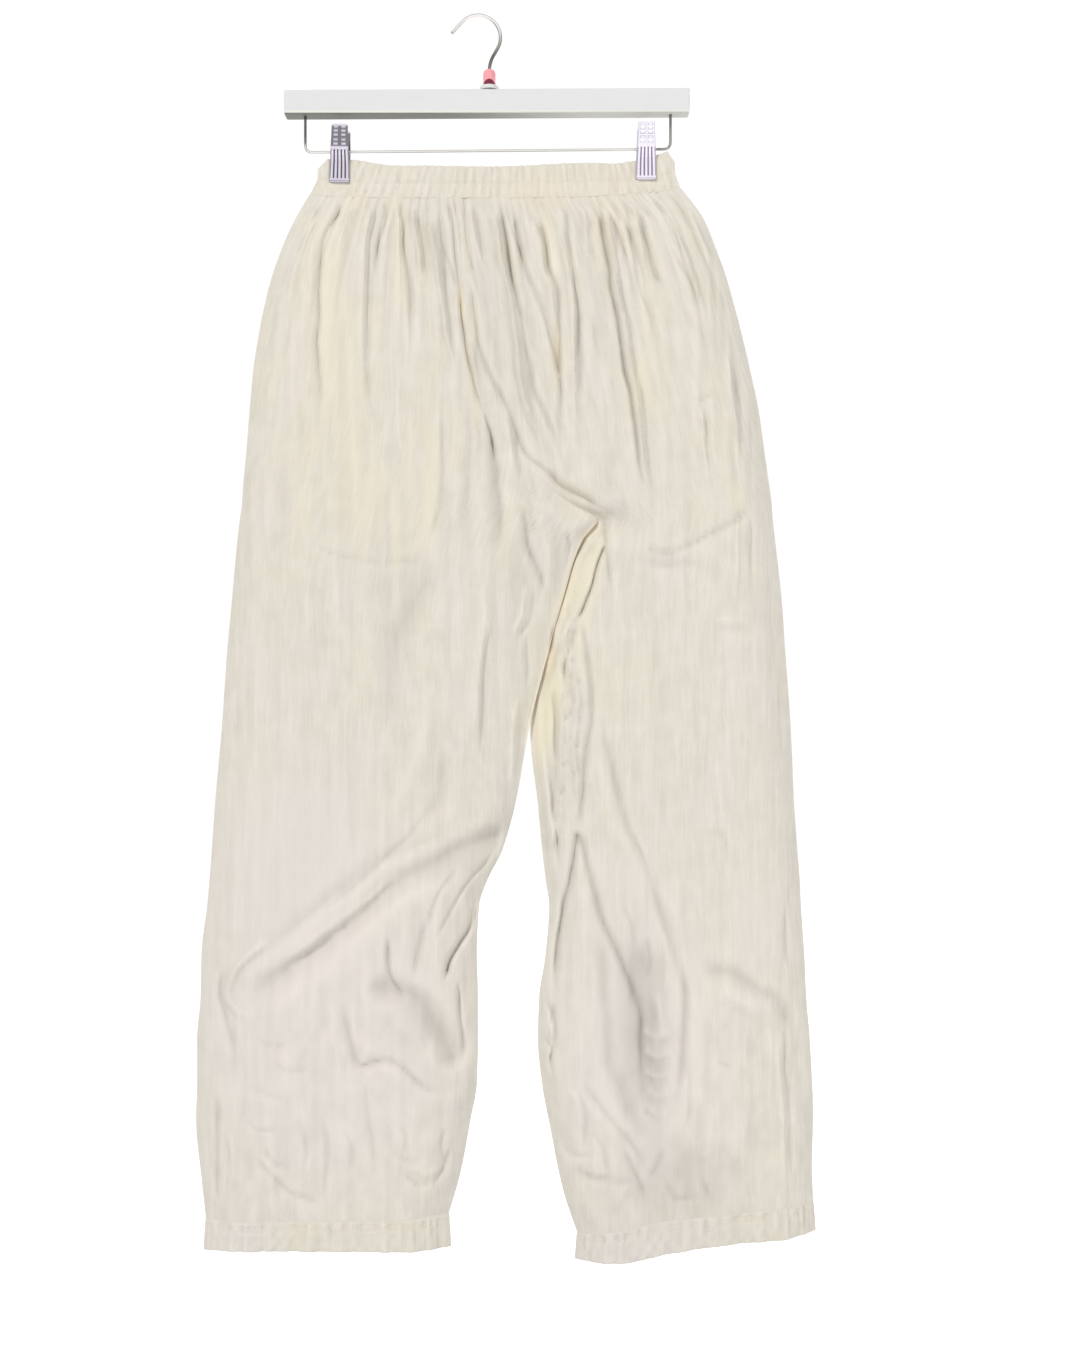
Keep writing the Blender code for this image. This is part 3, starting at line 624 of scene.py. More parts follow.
# Creases, placed by the photograph. Each has its path, reach and height in mm, lean (1 is
# gentle on the right of a path that runs down, -1 on its left), and how soon it fades in
# and out.
creaseRows = [
    # waist and seat, left of the rise
    ("338 186, 337 204, 327 222, 321 250, 318 323, 320 400, 321 450", 5, -2.3, -0.5, 0.02, 0.3),
    ("332 235, 329 320, 331 420", 9, 1.2, 0, 0.2, 0.4),
    ("312 206, 306 230, 294 268, 284 312", 5, 1.8, 0, 0.1, 0.5),
    ("318 200, 300 240, 290 275", 4, -1.3, 0, 0.1, 0.5),
    ("350 204, 344 222, 341 250", 4, 1.4, 0, 0.05, 0.5),
    ("370 203, 367 232, 364 262, 361 330, 363 380", 5.5, 1.7, 0, 0.05, 0.4),
    ("375 204, 371 240, 368 300, 367 360, 373 413, 383 447", 5.5, -1.5, 0.3, 0.05, 0.3),
    ("384 182, 384 210, 378 250, 376 290", 3, -1.4, 0, 0.02, 0.5),
    ("394 188, 399 230, 400 290, 398 330", 5, 2.1, 0, 0.05, 0.4),
    ("399 198, 404 250, 411 300, 411 330, 407 367", 4, -1.8, 0.4, 0.05, 0.4),
    ("403 360, 398 393, 400 433, 411 470", 4, 1.2, 0, 0.3, 0.3),
    ("412 204, 416 232, 421 262, 427 300", 2.9, 1.9, 0, 0.05, 0.5),
    ("418 214, 424 250, 430 290", 3.2, -0.9, 0, 0.05, 0.5),
    ("429 212, 434 243, 438 264, 441 293, 445 325, 453 355, 458 380", 3.3, 2.8, 0.2, 0.1, 0.3),
    ("438 214, 444 249, 451 266, 458 292", 3, -1.1, 0, 0.1, 0.2),
    (
        "446 200, 453 228, 456 262, 459 290, 461 308, 464 337, 472 372, 484 414, 491 440, 497 470",
        3.7, -2, 0.2, 0.03, 0.2,
    ),
    ("460 292, 461 308, 464 330, 468 352", 2.8, -1.2, 0, 0.2, 0.3),
    ("462 186, 464 208, 467 240, 475 275, 484 300", 3.9, -2, -0.3, 0.03, 0.35),
    ("470 200, 476 240, 484 268, 492 300", 3.5, 1.6, 0, 0.1, 0.4),
    (
        "471 284, 474 308, 478 337, 485 364, 497 387, 508 410, 517 433, 526 453, 540 466, 556 480",
        4.4, -2.2, -0.2, 0.08, 0.1,
    ),
    ("468 330, 474 362, 480 395, 486 430, 490 462", 3.1, 1.8, 0, 0.15, 0.3),
    ("475 396, 480 425, 484 452, 486 490, 484 540", 4.5, 2.1, 0.3, 0.2, 0.4),
    ("484 418, 491 440, 496 470, 500 505, 498 560", 6, -2.4, 0.2, 0.2, 0.3),
    ("468 404, 470 440, 467 500, 464 560", 5, -1.4, -0.3, 0.2, 0.4),
    ("478 470, 480 520, 483 570, 484 625, 478 690, 477 757", 7, 2, 0, 0.15, 0.3),
    ("492 623, 483 680, 483 747, 490 773", 5, -1.9, 0.3, 0.2, 0.3),
    # the centre and right of the rise
    (
        "493 208, 499 243, 504 272, 513 308, 516 337, 520 372, 529 412, 540 443, 552 466",
        3.5, 3, 0.2, 0.05, 0.2,
    ),
    (
        "501 206, 506 249, 513 287, 521 316, 525 343, 529 366, 538 396, 550 425, 560 455, 568 484",
        3.9, -1.7, 0.2, 0.05, 0.3,
    ),
    ("502 186, 508 214, 517 242, 526 269, 535 293, 544 316, 553 346, 559 378", 3.9, -1.8, 0.3, 0.03, 0.1),
    ("512 196, 520 222, 528 250, 536 276", 2.9, 1.6, 0, 0.05, 0.5),
    ("514 218, 519 244, 527 262", 2.5, -0.9, 0, 0.1, 0.4),
    (
        "540 214, 550 266, 556 287, 559 308, 560 345, 560 380, 560 410, 560 446, 565 474",
        3.4, -2.1, -0.2, 0.05, 0.3,
    ),
    ("551 322, 556 348, 559 374", 4.6, -1.7, 0, 0.3, 0.1),
    ("534 215, 541 250, 549 290, 556 330", 3.7, 2, 0, 0.1, 0.3),
    ("516 428, 518 455, 521 486", 3.2, -1, 0, 0.3, 0.3),
    ("529 462, 534 486, 538 505", 3.2, -0.9, 0, 0.3, 0.3),
    ("508 420, 512 450, 514 486", 3.3, 1.8, 0, 0.3, 0.3),
    ("566 206, 570 240, 573 272, 576 296, 578 331, 576 372, 573 400", 3, -1.5, -0.2, 0.05, 0.3),
    ("560 210, 566 250, 570 290, 572 340, 570 392", 2.9, 1.8, 0, 0.1, 0.4),
    ("569 262, 574 308, 575 378, 573 440", 2.4, 2.2, 0, 0.2, 0.4),
    ("578 285, 581 330, 582 372, 578 420", 3.2, -1.1, 0, 0.2, 0.4),
    ("583 205, 586 228, 590 250", 2.6, 1.8, 0, 0.05, 0.5),
    ("590 216, 592 240, 594 268", 3, -1.1, 0, 0.1, 0.4),
    ("593 318, 597 340, 601 362", 2.5, -0.7, 0, 0.3, 0.4),
    ("602 376, 606 411, 609 452", 2.8, -0.9, 0, 0.3, 0.4),
    (
        "600 194, 602 222, 605 246, 610 275, 617 308, 622 343, 627 374, 633 408, 638 440, 642 472, 645 505",
        4.1, -2, -0.3, 0.03, 0.25,
    ),
    (
        "606 205, 610 232, 614 262, 620 296, 626 328, 631 361, 637 402, 642 440, 647 484, 647 530",
        3.3, 3.5, -0.2, 0.05, 0.25,
    ),
    ("613 196, 620 222, 626 255, 634 284", 3.4, -1.2, 0, 0.03, 0.4),
    ("624 192, 630 226, 634 255, 639 287, 648 308, 658 340", 3.7, -1.7, 0, 0.03, 0.35),
    ("633 200, 640 236, 645 266, 654 296", 2.9, 2, 0, 0.05, 0.5),
    ("636 190, 645 206, 654 220", 3.9, -1.5, 0.2, 0.03, 0.3),
    ("640 212, 645 232, 653 262, 660 282, 670 292", 3.7, -1.6, 0, 0.05, 0.25),
    ("655 194, 668 210, 680 232, 690 250", 3.9, -1.5, 0, 0.05, 0.4),
    ("664 206, 676 226, 686 252, 693 280, 701 306, 706 322", 3.1, 3, 0.2, 0.1, 0.3),
    ("672 246, 684 268, 695 292, 702 320", 3.4, -1.1, 0, 0.2, 0.3),
    ("676 186, 688 212, 699 240, 710 264, 717 280", 3.4, -1.3, 0, 0.05, 0.3),
    ("690 205, 703 236, 715 262", 2.9, 1.8, 0, 0.05, 0.5),
    ("680 304, 689 319, 696 337, 701 350", 2.5, -0.7, 0, 0.3, 0.3),
    ("728 350, 733 396, 738 425, 739 472", 2.9, 2.2, 0.3, 0.2, 0.4),
    ("734 372, 742 400, 746 420", 3, -0.7, 0, 0.2, 0.4),
    ("697 402, 707 396, 720 391", 2.3, -1.1, 0, 0.2, 0.3),
    ("701 404, 704 434, 708 486", 2.6, 1.6, 0, 0.2, 0.4),
    ("705 404, 708 440, 711 486", 2.8, -0.7, 0, 0.2, 0.4),
    ("613 433, 610 507", 8, -1.2, 0, 0.3, 0.3),
    # the pocket bags' edges
    ("309 541, 330 553, 363 561, 390 564, 417 560, 430 548", 4, -0.9, 0, 0.2, 0.2),
    ("272 393, 270 447, 280 497, 300 525", 8, -1.0, 0, 0.3, 0.3),
    ("443 413, 442 470, 438 513, 431 545", 5, -1.5, 0.5, 0.2, 0.2),
    ("643 549, 670 552, 697 542, 723 529, 740 518, 751 508", 4.5, -1.8, 0, 0.1, 0.1),
    ("643 562, 677 565, 705 560", 6, -1.2, 0, 0.2, 0.3),
    ("737 517, 737 590", 3, 0.7, 0, 0.2, 0.4),
    ("752 510, 753 585", 3, -0.7, 0, 0.2, 0.4),
    # the crotch
    ("525 500, 526 540, 540 575, 546 597", 4, -2.4, 0, 0.2, 0.2),
    ("532 482, 530 512, 537 540", 3, -1.4, 0, 0.2, 0.3),
    ("538 500, 545 530, 551 575, 552 600", 6, 2.0, 0, 0.2, 0.3),
    ("565 528, 570 553, 566 575", 3, -1.4, 0, 0.2, 0.3),
    ("577 520, 571 545", 3, 0.9, 0, 0.2, 0.3),
    ("512 637, 522 615, 526 580", 3.5, 1.3, 0, 0.2, 0.3),
    ("517 640, 530 618, 533 590", 3, -1.2, 0, 0.2, 0.3),
    ("545 468, 562 486, 580 495, 598 508", 6, -3.2, 0, 0.2, 0.15),
    ("610 512, 615 575, 625 650", 6, 1.7, 0, 0.1, 0.4),
    ("604 515, 608 560, 612 600", 5, -1.6, 0, 0.1, 0.4),
    ("597 560, 601 625, 606 680", 6, 1.0, 0, 0.2, 0.3),
    ("605 545, 596 572, 588 595, 580 613, 571 625", 2.6, -2.6, 0, 0.05, 0.2),
    ("600 530, 590 545, 579 566, 569 600, 561 630, 555 652", 6, 4.4, 0, 0.1, 0.2),
    ("570 620, 562 650, 557 680", 3, 1.6, 0, 0.1, 0.2),
    ("575 625, 568 655, 563 690", 3, -1.4, 0, 0.1, 0.2),
    # the right leg's inner seam
    ("558 684, 561 703, 563 730, 562 759, 558 800, 553 840, 548 868", 3.2, 2.3, 0, 0.05, 0.2),
    ("552 690, 555 730, 556 765", 4, -1.8, 0, 0.2, 0.3),
    ("559 702, 570 693", 2.0, -1.1, 0, 0.2, 0.3),
    ("560 722, 574 712", 2.0, -1.2, 0, 0.2, 0.3),
    ("561 744, 574 737", 2.0, -1.0, 0, 0.2, 0.3),
    ("558 771, 569 760", 2.2, -1.2, 0, 0.2, 0.3),
    ("555 800, 566 788", 2.2, -1.1, 0, 0.2, 0.3),
    ("552 828, 560 815", 2.2, -1.0, 0, 0.2, 0.3),
    ("563 632, 568 655, 575 682, 578 712, 574 745, 577 790, 578 822", 3.6, 2.2, 0, 0.1, 0.2),
    ("578 618, 586 645, 590 682, 591 718, 586 760, 582 800, 579 832", 4.5, -2.1, 0, 0.1, 0.1),
    ("566 655, 580 664", 2.2, -1.3, 0, 0.2, 0.2),
    ("569 676, 584 682", 2.2, -1.2, 0, 0.2, 0.2),
    ("570 700, 586 707", 2.2, -1.3, 0, 0.2, 0.2),
    ("569 724, 584 719", 2.2, -1.2, 0, 0.2, 0.2),
    ("568 750, 582 744", 2.2, -1.3, 0, 0.2, 0.2),
    ("570 776, 582 770", 2.2, -1.2, 0, 0.2, 0.2),
    ("541 738, 546 790, 552 840, 556 880", 4, 1.4, 0, 0.2, 0.3),
    ("548 770, 556 830, 560 880", 3, -1.4, 0, 0.2, 0.3),
    # left leg
    ("437 555, 417 600, 397 640, 390 707, 392 760", 13, -2.2, 0, 0.2, 0.3),
    ("430 700, 423 740, 405 790, 385 830", 9, 1.4, 0, 0.3, 0.3),
    ("450 745, 440 790, 425 835", 7, -1.5, 0, 0.3, 0.3),
    ("527 633, 527 690", 3, -1.2, 0, 0.3, 0.3),
    ("517 690, 512 757, 513 795", 5, 1.6, 0, 0.3, 0.3),
    (
        "510 832, 484 840, 463 849, 426 868, 390 889, 363 912, 322 946, 281 976, 245 1000",
        12, -4.0, 0.4, 0.06, 0.15,
    ),
    ("470 822, 430 840, 378 862, 340 892, 295 926, 258 958", 7.5, -1.4, 0, 0.3, 0.2),
    ("405 872, 345 916, 290 958, 262 976", 5, 1.5, 0, 0.2, 0.3),
    ("497 850, 470 880, 448 915, 430 950", 3, -1.2, 0, 0.2, 0.3),
    ("500 862, 484 890, 468 925", 3, -1.3, 0, 0.2, 0.3),
    ("457 868, 436 900, 425 935", 3, -1.1, 0, 0.2, 0.3),
    ("440 800, 405 840, 350 890, 315 920", 4, -1.0, 0, 0.3, 0.3),
    ("440 880, 400 905, 360 935, 320 965", 14, 2.2, 0, 0.2, 0.3),
    ("272 938, 250 955, 234 974, 228 995, 236 1010, 254 1019", 4, 2.4, 0, 0.2, 0.2),
    ("222 965, 219 990, 228 1035, 234 1070", 5, -1.6, 0, 0.2, 0.3),
    ("238 1012, 240 1060", 5, 1.0, 0, 0.2, 0.4),
    ("366 986, 390 992, 420 1008, 437 1032, 450 1056, 456 1074", 11, -5.0, 0.2, 0.15, 0.12),
    ("388 1022, 411 1034, 430 1056, 447 1080", 8, 2.2, 0, 0.2, 0.2),
    ("341 998, 348 1035, 362 1068, 385 1062, 404 1070, 424 1091, 447 1096", 6, -2.4, 0, 0.2, 0.2),
    ("477 912, 466 938, 450 960, 445 980", 3.5, -3.6, 0, 0.02, 0.12),
    ("457 980, 461 1035, 463 1065", 3, -1.9, 0, 0.2, 0.2),
    ("386 932, 390 975, 404 1006", 3.5, -1.9, 0, 0.2, 0.2),
    ("426 914, 418 950, 414 984", 4, -1.5, 0, 0.3, 0.3),
    ("405 915, 405 965", 6, 1.0, 0, 0.3, 0.3),
    ("437 900, 436 950, 440 985", 6, 1.2, 0, 0.3, 0.3),
    ("330 993, 334 1035, 346 1084", 4, 0.9, 0, 0.3, 0.3),
    ("253 1155, 272 1178, 292 1197, 322 1206", 4, -1.5, 0, 0.2, 0.2),
    ("322 1108, 326 1158, 322 1206", 4, -1.0, 0, 0.3, 0.2),
    ("365 1078, 372 1151, 377 1186", 4, -1.0, 0, 0.3, 0.3),
    ("449 1150, 441 1172, 432 1192", 4, -1.4, 0, 0.2, 0.3),
    ("388 1150, 410 1162, 428 1160", 4, -0.9, 0, 0.3, 0.3),
    ("244 1120, 262 1132, 280 1130", 3.5, -0.9, 0, 0.3, 0.3),
    ("262 1150, 276 1166, 290 1172", 3.5, -1.1, 0.2, 0.2, 0.3),
    ("300 1120, 306 1150, 300 1180", 3.5, -0.8, 0, 0.3, 0.3),
    ("340 1128, 352 1150, 350 1176", 3.5, -0.8, 0, 0.3, 0.3),
    ("400 1172, 420 1186, 440 1180", 3.2, -1.2, 0, 0.2, 0.3),
    ("412 1166, 426 1174, 444 1168", 3.0, 1.0, 0, 0.2, 0.3),
    ("446 1128, 440 1150, 446 1172", 3.0, -0.9, 0, 0.2, 0.3),
    ("228 1130, 232 1170, 230 1200", 3.0, 0.9, 0, 0.3, 0.3),
    ("256 1040, 274 1048, 290 1044", 4, -0.8, 0, 0.3, 0.3),
    ("270 1062, 290 1074, 312 1072", 4, -0.9, 0, 0.3, 0.3),
    ("215 1089, 215 1205", 5, -1.4, 0, 0.3, 0.1),
    ("241 1085, 272 1097, 290 1100", 4, -0.8, 0, 0.3, 0.3),
    ("395 1120, 405 1140, 402 1160", 3, -0.8, 0, 0.3, 0.3),
    # right leg
    ("578 832, 573 866, 562 916, 555 974, 556 1000", 5, -3.4, 0, 0.03, 0.3),
    ("579 836, 590 880, 612 942, 632 985, 641 1020, 643 1070, 641 1115", 6, -3.0, 0.2, 0.03, 0.3),
    ("598 925, 606 965, 608 1010, 612 1060, 625 1100, 640 1130, 652 1150", 7, -2.4, 0, 0.2, 0.2),
    ("580 875, 583 930, 585 990", 10, 2.1, 0, 0.2, 0.4),
    ("600 707, 610 757, 627 827, 647 867, 660 905, 672 950, 683 985", 6, -2.0, 0.2, 0.25, 0.2),
    ("590 700, 600 760, 615 820, 633 860", 7, 1.2, 0, 0.2, 0.3),
    ("668 890, 680 940, 690 985", 5, 1.2, 0, 0.3, 0.3),
    ("633 827, 650 873, 659 905", 3.5, 1.1, 0, 0.3, 0.3),
    ("640 930, 652 1040, 650 1130", 26, -6.0, 0, 0.25, 0.3),
    ("680 960, 686 1010, 682 1070, 672 1120", 6, -2.4, 0, 0.2, 0.3),
    ("655 990, 662 1030, 655 1060", 5, 1.6, 0, 0.3, 0.3),
    ("642 1032, 656 1040, 674 1036", 4.5, 1.3, 0, 0.15, 0.15),
    ("644 1052, 658 1060, 675 1054", 4, 1.4, 0, 0.15, 0.15),
    ("644 1072, 658 1079, 674 1074", 4, 1.4, 0, 0.15, 0.15),
    ("645 1091, 658 1098, 672 1094", 4, 1.3, 0, 0.15, 0.15),
    ("648 1110, 660 1117, 670 1112", 4, 1.1, 0, 0.15, 0.15),
    ("640 1112, 664 1120", 3, -1.2, 0, 0.3, 0.3),
    ("578 1078, 600 1108, 628 1143, 646 1166", 5, -1.5, 0, 0.3, 0.2),
    ("665 1147, 655 1170, 648 1182", 5, -1.4, 0, 0.3, 0.3),
    ("566 1085, 577 1105, 581 1139", 5, 1.2, 0, 0.3, 0.3),
    ("577 1090, 586 1120, 586 1150", 4, -1.2, 0, 0.3, 0.3),
    ("700 972, 730 975, 757 992, 778 1002, 790 1020, 797 1040", 7, -2.6, 0, 0.15, 0.2),
    ("712 990, 740 1002, 765 1016", 7, 1.6, 0, 0.3, 0.3),
    ("788 905, 789 975", 4, -1.2, 0, 0.3, 0.3),
    ("553 1000, 556 1030, 550 1060, 554 1085", 3.0, -1.3, 0, 0.2, 0.3),
    ("548 1015, 552 1040, 546 1068", 2.6, 1.1, 0, 0.2, 0.3),
    ("560 1150, 580 1158, 600 1152", 3.4, -1.0, 0, 0.2, 0.3),
    ("572 1172, 596 1180, 618 1176", 3.4, -1.1, 0, 0.2, 0.3),
    ("590 1130, 604 1150, 610 1178", 3.2, -1.0, 0, 0.2, 0.3),
    ("622 1150, 636 1176, 644 1204", 3.6, -1.3, 0, 0.2, 0.3),
    ("686 1060, 690 1100, 684 1140", 4, -1.0, 0, 0.3, 0.3),
    ("664 1180, 676 1200, 700 1196", 3.6, -0.9, 0, 0.3, 0.3),
    ("716 1060, 724 1064, 732 1072", 3.0, -0.9, 0, 0.3, 0.3),
    ("768 1010, 772 1070, 770 1120", 3.4, 0.8, 0, 0.3, 0.3),
    ("620 905, 632 925, 636 950", 3.4, -1.1, 0, 0.2, 0.3),
    ("648 935, 650 960, 646 985", 3.2, -1.0, 0, 0.2, 0.3),
    ("664 930, 668 965, 662 1000", 3.2, 0.9, 0, 0.2, 0.3),
    ("784 1024, 790 1110, 793 1189", 3.5, -1.0, 0, 0.2, 0.2),
    ("777 1030, 783 1120, 785 1190", 4, 1.0, 0, 0.2, 0.2),
    ("693 687, 700 753", 5, -1.0, 0, 0.3, 0.3),
    ("683 713, 679 753, 677 800", 3.5, 0.9, 0, 0.3, 0.3),
    ("717 753, 720 793, 730 840", 4, 0.9, 0, 0.3, 0.3),
    ("640 560, 655 640, 660 720", 8, -0.9, 0, 0.3, 0.3),
    ("733 557, 738 610", 4, 0.8, 0, 0.3, 0.3),
    ("713 620, 757 621", 4, 0.7, 0, 0.3, 0.3),
    ("713 628, 750 630", 4, -0.7, 0, 0.3, 0.3),
    ("700 830, 722 838, 728 860", 4, -0.7, 0, 0.3, 0.3),
    ("562 1178, 612 1183, 640 1180", 5, -1.2, 0, 0.3, 0.3),
    ("612 1212, 631 1180", 4, 0.9, 0, 0.3, 0.3),
    ("700 1180, 712 1205", 4, -0.8, 0, 0.3, 0.3),
    ("546 1003, 553 1015, 549 1035", 3, -1.4, 0, 0.2, 0.3),
    ("543 1040, 552 1052, 548 1070", 3, -1.2, 0, 0.2, 0.3),
]


crease = {
    "scale": 1.75,
    "points": 26,  # along each path
    "broad": 7,  # a reach of this or more makes a broad, soft crease
    "narrow": 0.8,  # the others are narrower by this
    "lean": 0.55,
    "sharp": {"broad": 0.2, "trough": 0.6, "ridge": 0.4},
    "wander": ((1.3, 16, 22, 50), (1.6, 22, 16, 51)),  # mm, cell across and up, seed
    "backSeed": 5,
}
turnedAbout = 54  # twice the middle line, about which the back's creases are the front's


def finePath(path):
    # A smooth path through a few points
    steps = np.concatenate([[0.0], np.cumsum(np.hypot(*np.diff(path, axis=0).T))])
    at = np.linspace(0, steps[-1], crease["points"])
    if len(path) < 3:
        return np.stack([np.interp(at, steps, path[:, axis]) for axis in (0, 1)], 1)
    return np.stack([smoothCurve(steps, path[:, axis], at) for axis in (0, 1)], 1)


def creaseHeight(face, across, up):
    # The creases' relief at each point. Those of the back are the front's turned round.
    total = np.zeros_like(across)
    change = np.random.default_rng(crease["backSeed"])
    (swayX, *cellsX), (swayZ, *cellsZ) = crease["wander"]
    across = across + swayX * unevenWave(across, up, *cellsX)
    up = up + swayZ * unevenWave(across, up, *cellsZ)
    for text, reach, height, lean, fadeIn, fadeOut in creaseRows:
        path = finePath(pathOf(text))
        if face == 1:
            path[:, 0] = turnedAbout - path[:, 0] + change.uniform(-9, 9)
            path[:, 1] += change.uniform(-22, 8)
            height, lean = height * change.uniform(0.5, 1.0), -lean
        wide = reach * 3.2
        low, high = path.min(0) - wide, path.max(0) + wide
        near = (across > low[0]) & (across < high[0]) & (up > low[1]) & (up < high[1])
        if not near.any():
            continue
        best, side, place = nearestOnPath(path, across[near], up[near])
        broad = reach >= crease["broad"]
        width = (1.0 if broad else crease["narrow"]) * reach * (1 + crease["lean"] * lean * side)
        rise = smoothStep(place / max(fadeIn, 0.01)) * smoothStep((1 - place) / max(fadeOut, 0.01))
        sharp = crease["sharp"]["broad" if broad else "trough" if height < 0 else "ridge"]
        soft = (1 - sharp) * np.exp(-((best / width) ** 2)) + sharp * np.exp(-best / (0.5 * width))
        total[near] += crease["scale"] * height * rise * soft
    return total


def nearestOnPath(path, x, z):
    # How far each point is from a path, on which side, and at what share of the way
    best = np.full(x.shape, 1e9)
    side = np.zeros_like(x)
    place = np.zeros_like(x)
    for index in range(len(path) - 1):
        start, run = path[index], path[index + 1] - path[index]
        offX, offZ = x - start[0], z - start[1]
        t = np.clip((offX * run[0] + offZ * run[1]) / (run @ run), 0, 1)
        away = np.hypot(offX - t * run[0], offZ - t * run[1])
        closer = away < best
        best = np.where(closer, away, best)
        side = np.where(closer, np.sign(run[0] * offZ - run[1] * offX), side)
        place = np.where(closer, (index + t) / (len(path) - 1), place)
    return best, side, place


# Patches of colour: mask, middle in the photograph, half sizes in pixels, turn in degrees
# and strength. The shade patches are painted shade, the inside ones painted shade at gaps
# and laps, and the through ones a painted glow.
maskNames = ("pink", "peach", "doubled", "inside", "shade", "through")
patchRows = [
    ("pink", 300, 860, 110, 110, 0, 0.7),
    ("pink", 320, 1030, 140, 190, 0, 0.85),
    ("pink", 640, 1050, 80, 150, 0, 0.75),
    ("pink", 760, 920, 45, 60, 0, 0.4),
    ("pink", 330, 205, 14, 45, 0, 0.5),
    ("pink", 380, 185, 24, 12, 0, 0.5),
    ("peach", 355, 197, 14, 10, 0, 0.45),
    ("peach", 388, 196, 10, 8, 0, 0.4),
    ("peach", 540, 188, 44, 18, 0, 0.5),
    ("peach", 615, 178, 28, 20, 0, 0.45),
    ("peach", 612, 225, 18, 40, -12, 0.3),
    ("peach", 548, 225, 8, 30, 0, 0.25),
    ("doubled", 333, 330, 14, 120, 0, 0.5),
    ("doubled", 352, 470, 13, 90, 0, 0.45),
    ("doubled", 343, 380, 19, 150, 0, 0.36),
    ("doubled", 362, 500, 32, 55, 0, 0.34),
    ("doubled", 401, 262, 8, 62, 0, 0.55),
    ("doubled", 430, 475, 9, 75, 0, 0.5),
    ("doubled", 395, 520, 8, 50, 0, 0.4),
    ("doubled", 640, 385, 10, 34, 0, 0.5),
    ("doubled", 735, 495, 11, 18, 0, 0.45),
    ("doubled", 548, 232, 7, 30, 0, 0.35),
    ("inside", 556, 350, 5, 30, 0, 0.5),
    ("inside", 461, 300, 3, 18, -10, 0.45),
    ("inside", 474, 400, 5, 60, -8, 0.3),
    ("inside", 575, 494, 26, 8, 33, 0.3),
    ("doubled", 581, 580, 13, 52, 25, 0.8),
    ("doubled", 586, 615, 7, 40, 12, 0.5),
    ("doubled", 548, 715, 13, 50, 10, 0.9),
    ("inside", 550, 668, 5, 20, 10, 0.6),
    ("shade", 552, 640, 2.2, 12, 8, 0.55),
    ("shade", 642, 1045, 27, 105, -4, 0.17),
    ("shade", 674, 1185, 60, 46, 0, 0.12),
    ("shade", 600, 300, 16, 60, 0, 0.05),
    ("shade", 400, 600, 34, 70, 0, 0.04),
    ("shade", 500, 320, 46, 90, -10, 0.045),
    ("shade", 430, 240, 60, 40, 0, 0.03),
    ("shade", 415, 1024, 34, 20, 20, 0.09),
    ("shade", 455, 862, 30, 16, -20, 0.06),
    ("shade", 520, 562, 16, 40, 0, 0.06),
    ("through", 461, 304, 3.5, 20, -6, 0.17),
    ("through", 466, 345, 3, 24, -14, 0.09),
    ("through", 556, 352, 5, 28, -4, 0.12),
    ("through", 553, 268, 5, 30, 0, 0.08),
    ("through", 551, 652, 4, 22, 10, 0.3),
    ("through", 593, 530, 4, 12, 40, 0.14),
    ("shade", 614, 509, 22, 9, -8, 0.10),
    ("shade", 668, 560, 36, 9, 8, 0.05),
    ("shade", 492, 828, 22, 16, 0, 0.05),
]


def roundedOutline(corners, steps=10):
    # Corners are single places, or a start, a pull and an end for a round one
    points = []
    for corner in corners:
        if len(corner) == 1:
            points.append(np.array(corner[0], float))
            continue
        start, pull, end = (np.array(place, float) for place in corner)
        for share in np.linspace(0, 1, steps + 1):
            points.append(mixed(mixed(start, pull, share), mixed(pull, end, share), share))
    return np.array(points)


bags = {
    "left": {
        "corners": (
            ((-158, -176),),
            ((-184, -300),),
            ((-187, -415), (-160, -480), (-86, -486)),
            ((-58, -486), (-33, -482), (-33, -452)),
            ((-33, -340),),
            ((-48, -176),),
        ),
        "tint": 0.22,
        "flat": (0.16, 0.31),
        "area": 0.042,
    },
    "right": {
        "corners": (
            ((186, -176),),
            ((228, -300),),
            ((242, -425), (236, -446), (199, -461)),
            ((172, -474), (149, -478), (148, -450)),
            ((143, -374),),
            ((124, -176),),
        ),
        "tint": 0.1,
        "flat": (0.12, 0.30),
        "area": 0.027,
    },
}


def bagMask(side, across, up):
    # How much of the cloth at each point is doubled by a pocket bag
    outline = roundedOutline(bags[side]["corners"])
    inside = np.zeros(across.shape, bool)
    nearest = np.full(across.shape, 1e9)
    for start, end in zip(outline, np.roll(outline, -1, axis=0)):
        run = end - start
        t = ((across - start[0]) * run[0] + (up - start[1]) * run[1]) / (run @ run)
        t = np.clip(t, 0, 1)
        away = np.hypot(across - start[0] - t * run[0], up - start[1] - t * run[1])
        nearest = np.minimum(nearest, away)
        crosses = (start[1] > up) != (end[1] > up)
        with np.errstate(divide="ignore", invalid="ignore"):
            meet = start[0] + (up - start[1]) * run[0] / run[1]
        inside ^= crosses & (across < meet)
    return smoothStep(0.5 + np.where(inside, nearest, -nearest) / 3.0)


def patchMasks(face, across, up, share=1.0):
    masks = {key: np.zeros_like(across) for key in maskNames}
    for key, column, row, wide, tall, turn, strength in patchRows:
        x, z = fromPhoto(column, row)
        if face == 1:
            x = turnedAbout - x
        angle = math.radians(-turn)
        scale = photo["mmPerPixel"]
        dx, dz = across - x, up - z
        along = (dx * math.cos(angle) + dz * math.sin(angle)) / (wide * scale)
        down = (-dx * math.sin(angle) + dz * math.cos(angle)) / (tall * scale)
        patch = share * strength * np.exp(-((along**2 + down**2) ** 1.5))
        masks[key] = np.maximum(masks[key], patch)
    return masks


def bagTint(side, across, up):
    uneven = smoothStep(0.5 + 1.1 * unevenWave(across, up, 13, 190, 3))
    return bagMask(side, across, up) * bags[side]["tint"] * (0.25 + 0.75 * uneven)


